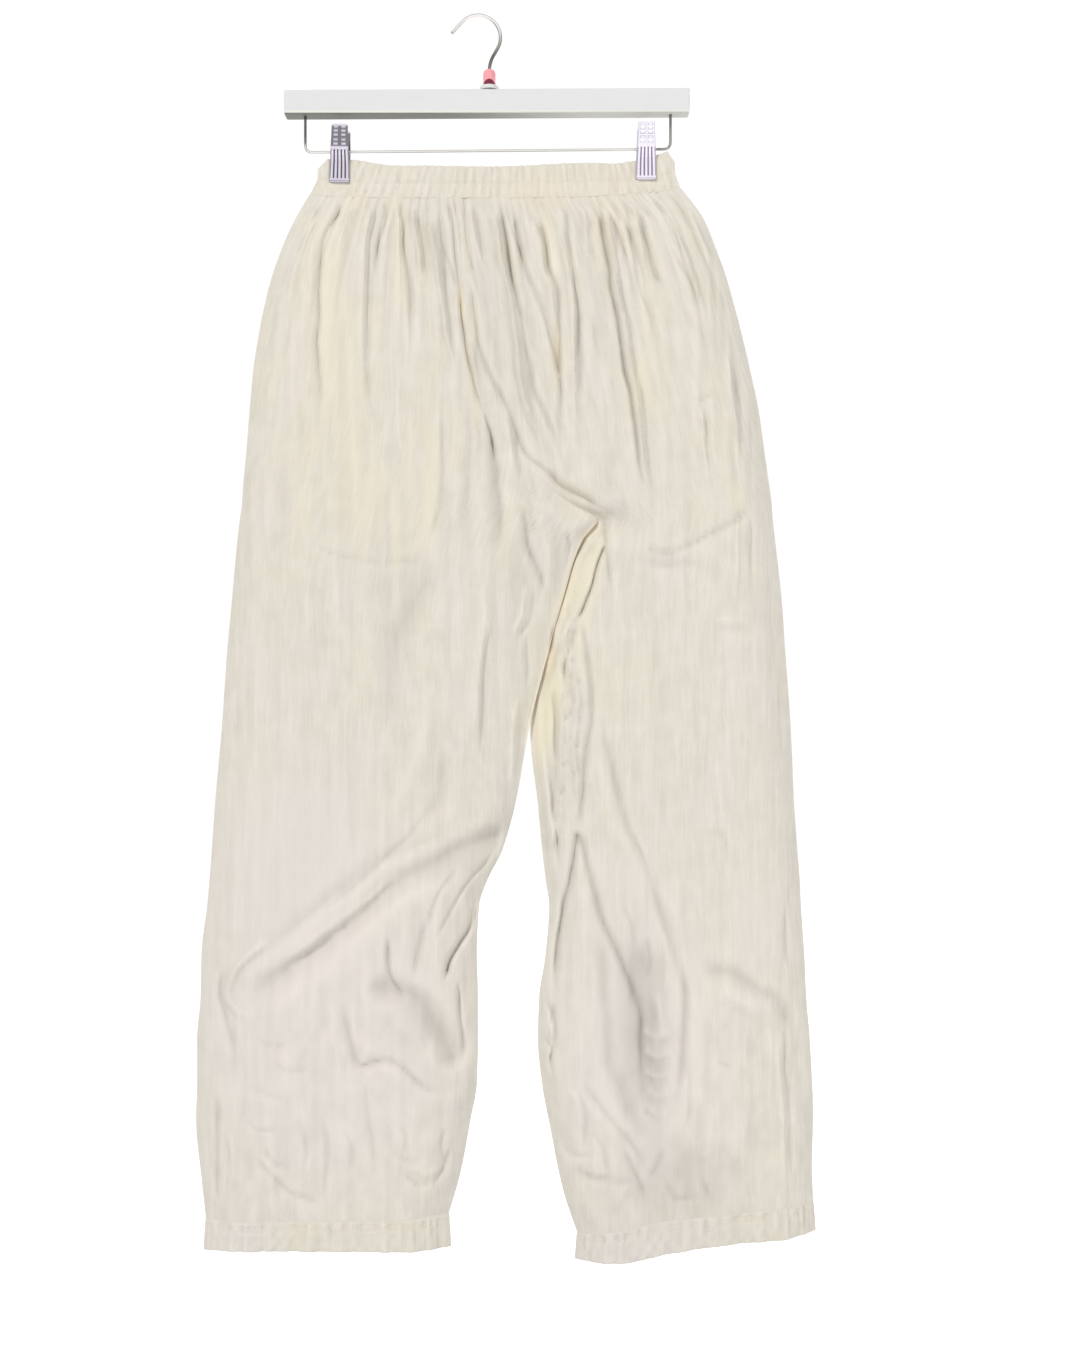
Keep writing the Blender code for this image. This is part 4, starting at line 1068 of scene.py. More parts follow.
faintPatches = 0.6  # of the front's strength, on the back, the casings and the bags
panels = {
    name: {"outer": "outer" + side, "inner": name, "face": face, "leg": leg, "over": over, "node": node}
    for name, side, face, leg, over, node in (
        ("frontLeft", "Left", -1, -1, 1, "front_left"),
        ("frontRight", "Right", -1, 1, 0, "front_right"),
        ("backLeft", "Left", 1, -1, 0, "back_left"),
        ("backRight", "Right", 1, 1, 1, "back_right"),
    )
}
# The panels' form in mm. A pair is where a change starts and how far it takes.
form = {
    "frontGrid": (281, 279),
    "backGrid": (201, 161),
    "wall": 0.9,
    "lappedWall": 0.3,
    "underLap": 7.0,
    "sideRound": 48,
    "rise": (448, 16),
    "lapStart": (400, 50),
    "lapEnd": (745, 90),
    "lapShallow": 0.58,
    "lapReach": 66,
    "sideFade": 16,
    "innerFade": 9,
    "shiftReach": 80,
}
# Its relief in mm: gathers' height and reach, and uneven waves with their height, cells
# across and up, seed, and how far down they start and how soon they are full.
fineGather = {"height": 2.3, "reach": 36}
coarseGather = {"height": 3.4, "start": 30, "level": 25, "reach": 90}
waveRows = (
    (0.5, 6.5, 75, 1, None),
    (0.22, 3.4, 40, 4, None),
    (1.0, 17, 22, 6, (700, 250)),
    (0.5, 8, 11, 16, (700, 250)),
    (0.6, 30, 90, 9, None),
    (0.6, 12, 14, 18, (860, 120)),
)
pleat = {
    "ridge": 0.45,
    "rows": ((1.0, 15, 150, 12), (0.5, 8, 70, 14)),
    "top": 1.25,
    "less": 0.95,
    "from": (350, 350),
}


def clipGrip(across, up):
    # 1 where a clip presses on the cloth
    grip = np.zeros_like(across)
    for middle, _ in clipPlaces.values():
        away = np.abs(across - middle)
        grip = np.maximum(grip, smoothStep((15 - away) / 5) * smoothStep((up + 158) / 8))
    return grip


def topOf(panel, edge):
    return float(readSection(panel[edge], np.array([waistHeight]))[0])


def panelRelief(panel, below, along, fromOuter, across, up):
    # How far gathers, pleats and creases stand out, below the waist seam
    face = panel["face"]
    share = shareAt(mixed(topOf(panel, "outer"), topOf(panel, "inner"), along))
    share = share + 0.004 * unevenWave(across, up, 40, 60, 8) * smoothStep(below / 40)
    fine, coarse = gathers[face]
    fineHeight = fineGather["height"] * np.exp(-below / fineGather["reach"])
    fineHeight *= 0.6 + 0.4 * smoothStep(below / 10)
    fade = np.exp(-np.clip(below - coarseGather["level"], 0, None) / coarseGather["reach"])
    coarseHeight = coarseGather["height"] * smoothStep(below / coarseGather["start"]) * fade
    relief = fineHeight * hills(fine, share) + coarseHeight * hills(coarse, share)
    relief *= 1 - 0.7 * smoothStep((30 - fromOuter) / 30)
    waves = np.zeros_like(across)
    for height, wide, tall, seed, start in waveRows:
        low = smoothStep((-up - start[0]) / start[1]) if start else 1.0
        waves += height * low * unevenWave(across, up, wide, tall, seed + face)
    pleats = np.full_like(across, pleat["ridge"])
    for height, wide, tall, seed in pleat["rows"]:
        pleats -= height * np.abs(unevenWave(across, up, wide, tall, seed + face))
    start, span = pleat["from"]
    waves += (pleat["top"] - pleat["less"] * smoothStep((-up - start) / span)) * pleats
    relief += waves * smoothStep(below / 60)
    return relief + creaseHeight(face, across, up) * (0.08 + 0.92 * smoothStep(below / 18))


def downFrom(height, key):
    start, span = form[key]
    return smoothStep((-height - start) / span)


def panelPoints(panel, height, across):
    # (across, out, up) of a panel's outer face at heights and places across, and its relief
    face, leg = panel["face"], panel["leg"]
    outerX, innerX = readSection(panel["outer"], height), readSection(panel["inner"], height)
    onRise = smoothStep((height + form["rise"][0]) / form["rise"][1])
    fromOuter = np.abs(across - outerX)
    fromInner = -leg * (innerX - across)
    under = np.clip(-fromInner, 0, None)
    fromInner = np.clip(fromInner, 0, None)
    innerRound = readSection("overRound" if panel["over"] else "round", height)
    lens = 1 - (1 - np.clip(fromOuter / form["sideRound"], 0, 1)) ** 2
    innerLens = 1 - (1 - np.clip(fromInner / innerRound, 0, 1)) ** 2
    full = mixed(readSection("rise", height), readSection("depth", height), innerLens)
    if panel["over"]:
        start, span = form["lapEnd"]
        lapping = downFrom(height, "lapStart") * smoothStep((height + start) / span)
        full *= 1 - form["lapShallow"] * lapping * (1 - smoothStep(fromInner / form["lapReach"]))
    bandDepth = readBand("seamDepth", shareAt(across)) + bandWall
    out = mixed(lens * full, bandDepth, readSection("band", height))
    up = height + heightBend(height, across)
    below = waistHeight - height
    along = fromOuter / np.maximum(np.abs(innerX - outerX), 1)
    innerFade = np.maximum(onRise, smoothStep(fromInner / form["innerFade"]))
    fade = smoothStep(fromOuter / form["sideFade"]) * innerFade * (1 - clipGrip(across, up))
    relief = panelRelief(panel, below, along, fromOuter, across, up) * fade
    out += relief
    if panel["over"]:
        rolled = 1 - np.sqrt(np.clip(1 - (1 - np.clip(fromInner / 1.5, 0, 1)) ** 2, 0, 1))
        out += readSection("lift", height) * np.exp(-((fromInner / 12) ** 2)) - 0.3 * rolled * onRise
    else:
        out -= onRise * 0.75 * np.exp(-((fromInner / 4) ** 2)) + 0.06 * under
    out -= 0.3 * np.exp(-below / 1.6) + 0.1 * np.exp(-(height - hemHeight) / 2)
    atEdge = np.minimum(fromOuter, fromInner + 1e3 * onRise) < 3
    out = np.maximum(out, np.where(atEdge, 0.15, 2.0))
    shift = readSection("shift", height) * (1 - smoothStep(fromInner / form["shiftReach"]))
    return np.stack([across, face * out + leg * shift, up], -1), relief


def panelGrid(panel, rows, columns):
    # Rows are closer near the waist, and columns near both edges
    down = np.linspace(0, 1, rows)
    down = down - 0.075 * np.sin(2 * np.pi * down) / np.pi * 1.4 * (1 - down)
    height = mixed(waistHeight - seamGap, hemHeight, down)[:, None] * np.ones(columns)
    place = closerEnds(np.linspace(0, 1, columns), 0.35)
    outerX, innerX = readSection(panel["outer"], height), readSection(panel["inner"], height)
    if not panel["over"]:
        innerX = innerX - form["underLap"] * smoothStep((height + 452) / 14) * panel["leg"]
    return height, mixed(outerX, innerX, place[None, :])


def closerEnds(share, much):
    return mixed(share, 0.5 - 0.5 * np.cos(np.pi * share), much)


def outwardNormals(points, face):
    normals = np.cross(np.gradient(points, axis=1), np.gradient(points, axis=0))
    normals *= face * np.sign(normals[..., 1:2].mean())
    return normals / np.maximum(np.linalg.norm(normals, axis=-1, keepdims=True), 1e-9)


def lowest(field):
    # The least value round each point of a grid
    for axis in (0, 1):
        width = [(1, 1) if axis == side else (0, 0) for side in (0, 1)]
        padded = np.pad(field, width, "edge")
        steps = [np.take(padded, np.arange(step, step + field.shape[axis]), axis) for step in range(3)]
        field = np.minimum.reduce(steps)
    return field


def addShell(name, outer, wall, face, masks, material):
    # A closed thin wall from a grid of outer points. Its inside has half the rows and columns.
    inner = outer - outwardNormals(outer, face) * (wall if np.isscalar(wall) else wall[..., None])
    depth = lowest(face * inner[..., 1])
    inner[..., 1] = face * np.where(face * outer[..., 1] > 0, np.maximum(depth, 0.08), depth)
    return addGrids(name, outer, inner[::2, ::2], masks, material)


def addGrids(name, outer, inner, masks, material):
    rows, columns = outer.shape[:2]
    step = 2 if inner.shape[0] < rows else 1
    index = np.arange(rows * columns).reshape(rows, columns)
    under = rows * columns + np.arange(inner.shape[0] * inner.shape[1]).reshape(inner.shape[:2])
    rims = []
    for outerLine, innerLine, flip in (
        (index[0], under[0], False),
        (index[-1], under[-1], True),
        (index[:, 0], under[:, 0], True),
        (index[:, -1], under[:, -1], False),
    ):
        parts = [outerLine[part : len(outerLine) - step + part : step] for part in range(step)]
        rim = np.stack([*parts, outerLine[step::step], innerLine[1:], innerLine[:-1]], -1)
        rims.append(rim[:, ::-1] if flip else rim)
    points = np.concatenate([outer.reshape(-1, 3), inner.reshape(-1, 3)]) * mm
    faces = [row for group in (quadsOf(index)[:, ::-1], quadsOf(under), *rims) for row in group.tolist()]
    piece = addMesh(name, points, faces, material)
    setMasks(piece.data, {key: outerThenInner(value, step) for key, value in masks.items()})
    return piece


def outerThenInner(value, step):
    tail = value.shape[2:]
    return np.concatenate([value.reshape(-1, *tail), value[::step, ::step].reshape(-1, *tail)])


def quadsOf(index):
    left, right = index[:, :-1], index[:, 1:]
    return np.stack([left[:-1], right[:-1], right[1:], left[1:]], -1).reshape(-1, 4)


def setMasks(data, masks):
    for key, value in masks.items():
        flow = key == "flow"
        made = data.attributes.new(key, "FLOAT_VECTOR" if flow else "FLOAT", "POINT")
        made.data.foreach_set("vector" if flow else "value", value.astype(np.float32).ravel())


def addMesh(name, points, faces, material):
    # A closed mesh whose faces point outwards
    data = bpy.data.meshes.new(name)
    data.vertices.add(len(points))
    data.vertices.foreach_set("co", points.astype(np.float32).ravel())
    sides = np.array([len(face) for face in faces])
    corners = np.concatenate([np.asarray(face) for face in faces])
    data.loops.add(len(corners))
    data.loops.foreach_set("vertex_index", corners.astype(np.int32))
    data.polygons.add(len(faces))
    data.polygons.foreach_set("loop_start", (np.cumsum(sides) - sides).astype(np.int32))
    data.update(calc_edges=True)
    data.validate()
    shape = bmesh.new()
    shape.from_mesh(data)
    volume = shape.calc_volume(signed=True)
    shape.free()
    if volume < 0:
        data.flip_normals()
    data.shade_smooth()
    data.set_sharp_from_angle(angle=math.radians(62))
    data.materials.append(material)
    piece = bpy.data.objects.new(name, data)
    bpy.context.scene.collection.objects.link(piece)
    print(name, "triangles", int(sides.sum()) - 2 * len(faces), "volume", round(abs(volume) * 1e6, 1), "cm3")
    return piece


def joinRide(piece, nodes=()):
    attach(piece, "root")
    if nodes:
        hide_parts(*nodes)
    return piece


def addPanels(material):
    for name, panel in panels.items():
        front = panel["face"] == -1
        height, across = panelGrid(panel, *form["frontGrid" if front else "backGrid"])
        points, relief = panelPoints(panel, height, across)
        x, z = points[..., 0], points[..., 2]
        masks = patchMasks(panel["face"], x, z, 1.0 if front else faintPatches)
        if front:
            side = "left" if panel["leg"] == -1 else "right"
            masks["doubled"] = np.maximum(masks["doubled"], bagTint(side, x, z))
        masks["shade"] = masks["shade"] + cavityShade(relief)
        fromInner = np.abs(readSection(panel["inner"], height) - across)
        between = smoothStep((-height - 447) / 5) * smoothStep((height + 662) / 30)
        # A painted glow along the inner edges between the legs, as of light coming through the cloth
        paintedGlow = 0.26 * np.exp(-((fromInner / 2.2) ** 2)) * between
        masks["through"] = np.maximum(masks["through"], paintedGlow)
        masks["flow"] = flowOf(panel, height, across, points)
        piece = addShell(name, points, thinWall(panel, height, fromInner), panel["face"], masks, material)
        joinRide(piece, [panel["node"]])


def thinWall(panel, height, fromInner):
    # The cloth's thickness, less where a panel laps over its neighbour
    onRise = smoothStep((height + 452) / 12) * panel["over"]
    return mixed(form["wall"], mixed(form["lappedWall"], form["wall"], smoothStep(fromInner / 6)), onRise)


def boxBlur(field, overRows, overColumns):
    padded = np.pad(field, ((overRows, overRows), (overColumns, overColumns)), "edge")
    across = sum(padded[:, step : step + field.shape[1]] for step in range(2 * overColumns + 1))
    both = sum(across[step : step + field.shape[0]] for step in range(2 * overRows + 1))
    return both / (2 * overColumns + 1) / (2 * overRows + 1)


def cavityShade(relief):
    # Painted shade in hollows and a painted highlight on ridges, by how they stand off the cloth
    near = boxBlur(relief, 1, 7) - relief
    far = boxBlur(relief, 7, 23) - relief
    return np.clip(near * 0.045 + far * 0.022, -0.045, 0.22)


def flowOf(panel, height, across, points):
    # Where each point lies on the cloth, so that crinkles follow its pleats
    outerX, innerX = readSection(panel["outer"], height), readSection(panel["inner"], height)
    along = (across - outerX) / (innerX - outerX)
    straight = mixed(topOf(panel, "outer"), topOf(panel, "inner"), along) * 1.6
    sideways = mixed(straight, across, smoothStep((-height - 250) / 260))
    offset = 400.0 * list(panels.values()).index(panel)
    return np.stack([sideways + offset, points[..., 2], np.zeros_like(across)], -1)


# The waistband: two elastic channels with stitched rows, in a front and a back half. Places
# down it are shares of its height, and the rest is in mm.
casing = {
    "columns": 520,
    "rows": (0.56, 0.95),
    "groove": 0.4,
    "grooveReach": 0.05,
    "puff": 0.6,
    "ripple": 1.15,
    "opens": 0.72,
    "outerRows": (0.0, 0.012, 0.03, *np.linspace(0.06, 0.96, 26), 0.985, 1.0),
    "innerRows": tuple(np.linspace(1.0, 0.0, 12)),
    "lip": ((0.7, 0.12), (1.1, 0.35), (1.2, 0.6), (1.0, 0.8), (0.0, 0.85)),  # down and back
}


def bandLine(share, down):
    # (across, depth, up) of the band's inner face, and how far it has opened towards the seam
    opened = np.clip((down - casing["opens"]) / (1 - casing["opens"]), 0, 1)
    across = mixed(mixed(*bandTopEnds, share), mixed(*bandSeamEnds, share), down)
    depth = mixed(readBand("topDepth", share), readBand("seamDepth", share), opened)
    return across, depth, mixed(readBand("top", share), readBand("seam", share), down), opened


def casingOut(face, share, down):
    # How far out the casing's outer face stands, without its rounded rims
    across, depth, up, opened = bandLine(share, down)
    ends = smoothStep(np.minimum(share, 1 - share) / 0.03)
    grooves = sum(np.exp(-(((down - row) / casing["grooveReach"]) ** 2)) for row in casing["rows"])
    puff = casing["puff"] * np.abs(np.sin(np.pi * np.clip(down / casing["rows"][0], 0, 1.88))) ** 0.7
    fine = hills(gathers[face][0], share + 0.0015 * unevenWave(across, up, 9, 9, 30))
    lively = 0.85 + 0.45 * unevenWave(across, up, 14, 12, 31 + face)
    fine = fine + 0.5 * unevenWave(across, up, 2.6, 15, 33 + face)
    fine = fine + 0.3 * unevenWave(across, up, 5.5, 9, 35 + face)
    ripple = casing["ripple"] * fine * lively * (1 - 0.3 * grooves) * (1 + 0.35 * opened)
    relief = ripple + puff - casing["groove"] * grooves
    return depth + bandWall + relief * ends * (1 - clipGrip(across, up)), across, up


def addCasings(material):
    share = np.linspace(0, 1, casing["columns"])
    outerCount = len(casing["outerRows"])
    for name, face, node in (("casingFront", -1, "waistband_front"), ("casingBack", 1, "waistband_back")):
        rings = []
        for down in casing["outerRows"]:
            out, across, up = casingOut(face, share, np.full_like(share, down))
            rim = np.sqrt(np.clip(1 - (1 - min(down / 0.045, 1.0)) ** 2, 0, 1))
            rings.append((across, out - 1.1 * (1 - rim), up))
        outs = np.stack([row[1] for row in rings], -1)
        for drop, back in casing["lip"]:
            rings.append((across, out - back, up - drop))
        for down in casing["innerRows"]:
            across, depth, up, _ = bandLine(share, down)
            rings.append((across, np.maximum(depth, 0.15) + 0.25 * (down in (0.0, 1.0)), up))
        grid = np.array([[x, face * y, z] for x, y, z in rings]).transpose(2, 0, 1)
        downs = np.concatenate([casing["outerRows"], np.ones(len(casing["lip"])), casing["innerRows"]])
        hollow = np.zeros(grid.shape[:2])
        # Painted shade in the puckers' hollows and a slight painted highlight on their tops
        hollow[:, :outerCount] = np.clip((boxBlur(outs, 9, 0) - outs) * 0.11, -0.05, 0.2)
        wavyTop = np.clip(1 - downs / 0.2, 0, 1)[None, :]
        grid[..., 2] += 0.5 * hills(gathers[face][0], share)[:, None] * wavyTop
        middle = grid.mean(axis=1, keepdims=True)
        for end in (0, -1):
            grid[end] = mixed(middle[end], grid[end], 0.45)
            grid[end, :, 0] = middle[end, :, 0]
        piece = addTube(name, grid, face, material, hollow)
        joinRide(piece, [node])


def addTube(name, grid, face, material, hollow):
    # A closed solid from a grid: columns along it, each a closed ring, with capped ends
    along, around = grid.shape[:2]
    index = np.arange(along * around).reshape(along, around)
    after = np.roll(index, -1, axis=1)
    quads = np.stack([index[:-1], after[:-1], after[1:], index[1:]], -1).reshape(-1, 4)
    points = grid.reshape(-1, 3) * mm
    centres = [points[index[end]].mean(axis=0) for end in (0, -1)]
    caps = [
        (first, second, len(points) + number)
        for number, end in enumerate((0, -1))
        for first, second in zip(index[end], after[end])
    ]
    points = np.concatenate([points, centres])
    data = bmesh.new()
    verts = [data.verts.new(point) for point in points]
    for corners in (*quads, *caps):
        data.faces.new([verts[corner] for corner in corners])
    bmesh.ops.recalc_face_normals(data, faces=data.faces)
    mesh = bpy.data.meshes.new(name)
    data.to_mesh(mesh)
    data.free()
    mesh.shade_smooth()
    mesh.set_sharp_from_angle(angle=math.radians(62))
    mesh.materials.append(material)
    piece = bpy.data.objects.new(name, mesh)
    bpy.context.scene.collection.objects.link(piece)
    x, z = points[:, 0] / mm, points[:, 2] / mm
    masks = patchMasks(face, x, z, faintPatches)
    if face == -1:
        masks["doubled"] = np.maximum(masks["doubled"], 0.12)
    masks["shade"] = masks["shade"] + np.append(hollow.ravel(), [0.0, 0.0])
    masks["flow"] = np.stack([x * 1.7 + 2000, z, np.zeros_like(x)], -1)
    setMasks(mesh, masks)
    print(name, "triangles", 2 * len(quads) + len(caps))
    return piece


# The hems: a folded band round each leg, with two stitched rows at its top. Places down it
# are shares of its height, and the rest is in mm. Pink is where it starts and its span.
hems = {
    "hemLeft": {
        "legs": ("frontLeft", "backLeft"),
        "node": "hem_left",
        "pucker": 0.95,
        "pink": (-150, 50),
        "shade": 0.01,
    },
    "hemRight": {
        "legs": ("frontRight", "backRight"),
        "node": "hem_right",
        "pucker": 1.2,
        "pink": (235, 70),
        "shade": 0.045,
    },
}
hemRing = {
    "columns": 230,
    "stitched": (0.14, 0.27),
    "outerRows": np.array([-0.045, -0.035, -0.015, 0.02, *np.linspace(0.05, 0.93, 21), 0.965, 0.99, 1.0]),
    "innerRows": np.linspace(1.0, 0.0, 7),
    "over": ((0.0, 0.06), (-0.04, 0.1)),  # where it closes over the leg: down and out
}
sewnRows = {}


def hemPath(names):
    # The line round a leg where its hem begins
    lines = []
    for name in names:
        panel = panels[name]
        height, across = panelGrid(panel, 3, hemRing["columns"])
        points = panelPoints(panel, height, across)[0][-1]
        lines.append(points if panel["leg"] == -1 else points[::-1])
    front, back = lines
    return np.concatenate([front, back[-2:0:-1]])


def hemOut(hem, down, length, flat):
    # How far the hem's outer face stands out, with puckers along its stitches
    zero = np.zeros_like(length)
    pucker = unevenWave(length, zero, 3.1, 1, 40) + 0.6 * unevenWave(length, zero, 7.0, 1, 41)
    crumple = unevenWave(length, down * 26 + zero, 5, 7, 42)
    rim = 0.06 + 0.94 * float(smoothStep((down + 0.045) / 0.14))
    foot = math.sqrt(max(0.0, 1 - (1 - min((1 - down) / 0.06, 1)) ** 2))
    grooves = sum(math.exp(-(((down - row) / 0.05) ** 2)) for row in hemRing["stitched"])
    out = 0.15 + 0.55 * rim * foot - 0.3 * grooves
    return out + flat * hem["pucker"] * (pucker * (0.55 + 0.5 * grooves) + 0.6 * crumple) * rim


def addHems(material):
    for name, hem in hems.items():
        path = hemPath(hem["legs"])
        x, y = path[:, 0], path[:, 1]
        normal = np.stack([np.roll(y, -1) - np.roll(y, 1), np.roll(x, 1) - np.roll(x, -1)], -1)
        normal /= np.maximum(np.linalg.norm(normal, axis=1, keepdims=True), 1e-9)
        fromMiddle = x - x.mean()
        normal *= np.sign((normal * np.stack([fromMiddle, y], -1)).sum(1).mean())
        length = np.concatenate([[0], np.cumsum(np.hypot(np.diff(x), np.diff(y)))])
        seam, edge = readHem("seam", x) - seamGap, readHem("edge", x)
        flat = smoothStep((np.abs(y) - 1.0) / 5)
        rings = [(down, hemOut(hem, down, length, flat)) for down in hemRing["outerRows"]]
        for down in hemRing["innerRows"]:
            rings.append((down, np.full_like(x, -hemWall + 0.3 * (down in (0.0, 1.0)))))
        rings += [(down, np.full_like(x, out)) for down, out in hemRing["over"]]
        grid = []
        for down, out in rings:
            widen = hemSpread * max(down, 0) * np.sign(fromMiddle) * smoothStep(np.abs(fromMiddle) / 60)
            limit = np.maximum(np.abs(y) - 0.15, 0)
            out = np.where(out < 0, np.maximum(out, -limit), out)
            ring = [x + widen + normal[:, 0] * out, y + normal[:, 1] * out, mixed(seam, edge, down)]
            grid.append(np.stack(ring, -1))
        grid = np.array(grid)
        rows = [int(np.argmin(np.abs(hemRing["outerRows"] - row))) for row in hemRing["stitched"]]
        sewnRows[name] = [grid[row] + 0.12 * np.append(normal, 0 * normal[:, :1], axis=1) for row in rows]
        outs = np.array([out for _, out in rings])
        # Painted shade in the puckers' hollows and a slight painted highlight on their tops
        hollow = np.clip((boxBlur(outs, 0, 7) - outs) * 0.085, -0.05, 0.16)
        hollow[len(hemRing["outerRows"]) :] = 0
        piece = addHemRing(name, hem, grid, material, hollow)
        joinRide(piece, [hem["node"]])


def addHemRing(name, hem, grid, material, hollow):
    # A closed band from rows that each go round the leg; the last row joins the first
    rows, columns = grid.shape[:2]
    index = np.arange(rows * columns).reshape(rows, columns)
    right = np.roll(index, -1, axis=1)
    below, belowRight = np.roll(index, -1, axis=0), np.roll(right, -1, axis=0)
    faces = np.stack([below, belowRight, right, index], -1).reshape(-1, 4)
    points = grid.reshape(-1, 3) * mm
    piece = addMesh(name, points, faces, material)
    x, z = points[:, 0] / mm, points[:, 2] / mm
    start, span = hem["pink"]
    pinkShare = smoothStep((start - x) / span)
    masks = {key: np.zeros_like(x) for key in maskNames}
    masks["pink"] += 0.15 + 0.4 * pinkShare
    masks["doubled"] += 0.14 * (1 - pinkShare)
    # Painted shade: the puckers' hollows and an even darkening over each hem
    masks["shade"] += hollow.ravel() + hem["shade"]
    masks["flow"] = np.stack([x + 3000, z, np.zeros_like(x)], -1)
    setMasks(piece.data, masks)
    return piece


def addBags(material):
    # The pocket bags, inside the front panels
    rows, columns = 101, 57
    for side, bag in bags.items():
        panelName = "front" + side.capitalize()
        outline = roundedOutline(bag["corners"])
        top, bottom = outline[:, 1].max(), outline[:, 1].min()
        ups = mixed(top - 0.5, bottom + 0.4, closerEnds(np.linspace(0, 1, rows), 0.6))
        edges = np.array([crossings(outline, up) for up in ups])
        across = mixed(edges[:, :1], edges[:, 1:], np.linspace(0, 1, columns)[None, :])
        up = ups[:, None] * np.ones(columns)
        height = up.copy()
        for _ in range(4):
            height = up - heightBend(height, across)
        points = panelPoints(panels[panelName], height, across)[0]
        points[..., 1] += 1.6
        masks = patchMasks(1, across, up, faintPatches)
        masks["doubled"] = masks["doubled"] + 0.3
        masks["flow"] = np.stack([across + 4000, up, 0 * up], -1)
        piece = addShell("pocketBag" + side.capitalize(), points, 1.0, -1, masks, material)
        joinRide(piece, ["pocket_bag_" + side])


def crossings(outline, up):
    found = []
    for start, end in zip(outline, np.roll(outline, -1, axis=0)):
        if (start[1] > up) != (end[1] > up):
            found.append(start[0] + (up - start[1]) * (end[0] - start[0]) / (end[1] - start[1]))
    return min(found), max(found)


# Clips: pressed plates with dimples on the handle and grooves on the jaw. Each row has its
# height from the rod, how far out it stands and half its width.
clipRows = np.array(
    [
        (21.6, 9.4, 7.1),
        (13.0, 9.0, 7.3),
        (6.0, 8.2, 7.7),
        (0.0, 7.0, 8.0),
        (-6.0, 5.4, 8.3),
        (-11.0, 4.3, 8.6),
        (-15.0, 4.0, 8.8),
        (-26.0, 4.0, 9.0),
        (-28.3, 4.8, 9.0),
    ]
)
clip = {
    "rows": 113,
    "columns": 71,
    "sheet": 0.9,
    "corner": 1.6,
    "bevel": (0.9, 0.55),
    "dimple": 0.45,
    "dimpleStep": 3.7,
    "groove": 0.5,
    "grooves": 2.6,
    "handle": (2.0, 20.2),
    "jaw": (1.0, -25.2),
    "lip": -26.0,
    "ears": {"front": 7.0, "back": 5.6},
}


def rodHeight(across):
    return mixed(rodLeft[1], rodRight[1], (across - rodLeft[0]) / (rodRight[0] - rodLeft[0]))


def clipPlate(side):
    # (across, out, up) of a plate's face and its painted shade and dark reflection, before it is set on the
    # rod
    top, bottom = clipRows[0, 0], clipRows[-1, 0]
    up = np.linspace(top, bottom, clip["rows"])[:, None] * np.ones(clip["columns"])
    half = smoothCurve(clipRows[:, 0], clipRows[:, 2], up)
    ends = np.minimum(top - up, up - bottom)
    corner = clip["corner"]
    inset = corner - np.sqrt(np.clip(corner**2 - np.clip(corner - ends, 0, corner) ** 2, 0, None))
    x = np.linspace(-1, 1, clip["columns"])[None, :] * (half - inset)
    bevel, bevelDepth = clip["bevel"]
    edge = np.clip((half - inset - np.abs(x)) / bevel, 0, 1)
    (low, high), (jawTop, jawFoot) = clip["handle"], clip["jaw"]
    handle = smoothStep((up - low) / 1.0) * smoothStep((high - up) / 0.8)
    column = np.abs(np.abs(x) - half * 0.46) / (half * 0.34)
    row = np.abs(((up - 2.6) % clip["dimpleStep"]) - clip["dimpleStep"] / 2) / 1.35
    dimple = smoothStep((1 - column) / 0.35) * smoothStep((1 - row) / 0.45) * handle
    jaw = smoothStep((jawTop - up) / 1.2) * smoothStep((up - jawFoot) / 1.0)
    stripes = np.abs(np.sin(np.pi * (x / half * clip["grooves"] + 0.5)))
    groove = smoothStep((0.68 - stripes) / 0.3) * jaw * (np.abs(x) < half * 0.93)
    out = smoothCurve(clipRows[:, 0], clipRows[:, 1], up)
    out = out - bevelDepth * (1 - np.sqrt(np.clip(1 - (1 - edge) ** 2, 0, 1)))
    out = out - clip["dimple"] * dimple - clip["groove"] * groove
    # Painted shade and dark reflection in the dimples and grooves and along the plate's edges
    dimpleShade = 0.85 * smoothStep((dimple - 0.15) / 0.5) * (1 - smoothStep((dimple - 0.75) / 0.2))
    paintedShade = np.maximum(np.clip(dimpleShade + 0.9 * groove, 0, 1), 0.75 * smoothStep((0.55 - edge) / 0.5))
    # The left clip's handle is painted darker still, as a dark reflection
    if side == "left":
        paintedShade = np.maximum(paintedShade, 0.72 * handle * (1 - 0.75 * smoothStep((dimple - 0.6) / 0.3)))
    # The lip at the plate's foot gets painted shade too
    lip = smoothStep((clip["lip"] - up) / 0.8) * (1 - smoothStep((-27.2 - up) / 0.4))
    return x, out, up, np.maximum(paintedShade, 0.5 * lip)


def addClips(material):
    for side, (across, turn) in clipPlaces.items():
        spot = Matrix.Translation((across * mm, 0, rodHeight(across) * mm))
        spot = spot @ Matrix.Rotation(math.radians(-turn), 4, "Y")
        x, out, up, paintedShade = clipPlate(side)
        for face, faceName in ((-1, "front"), (1, "back")):
            outer = np.stack([x, face * out, up], -1)
            inner = np.stack([x, face * (out - clip["sheet"]), up], -1)
            name = f"clip{side.capitalize()}{faceName.capitalize()}"
            # The groove mask carries the painted shade and dark reflection
            piece = addGrids(name, outer, inner, {"flow": outer, "groove": paintedShade}, material)
            addEars(piece, face, clip["ears"][faceName])
            piece.data.transform(spot)
            joinRide(piece, [f"clip_{side}_{faceName}"])


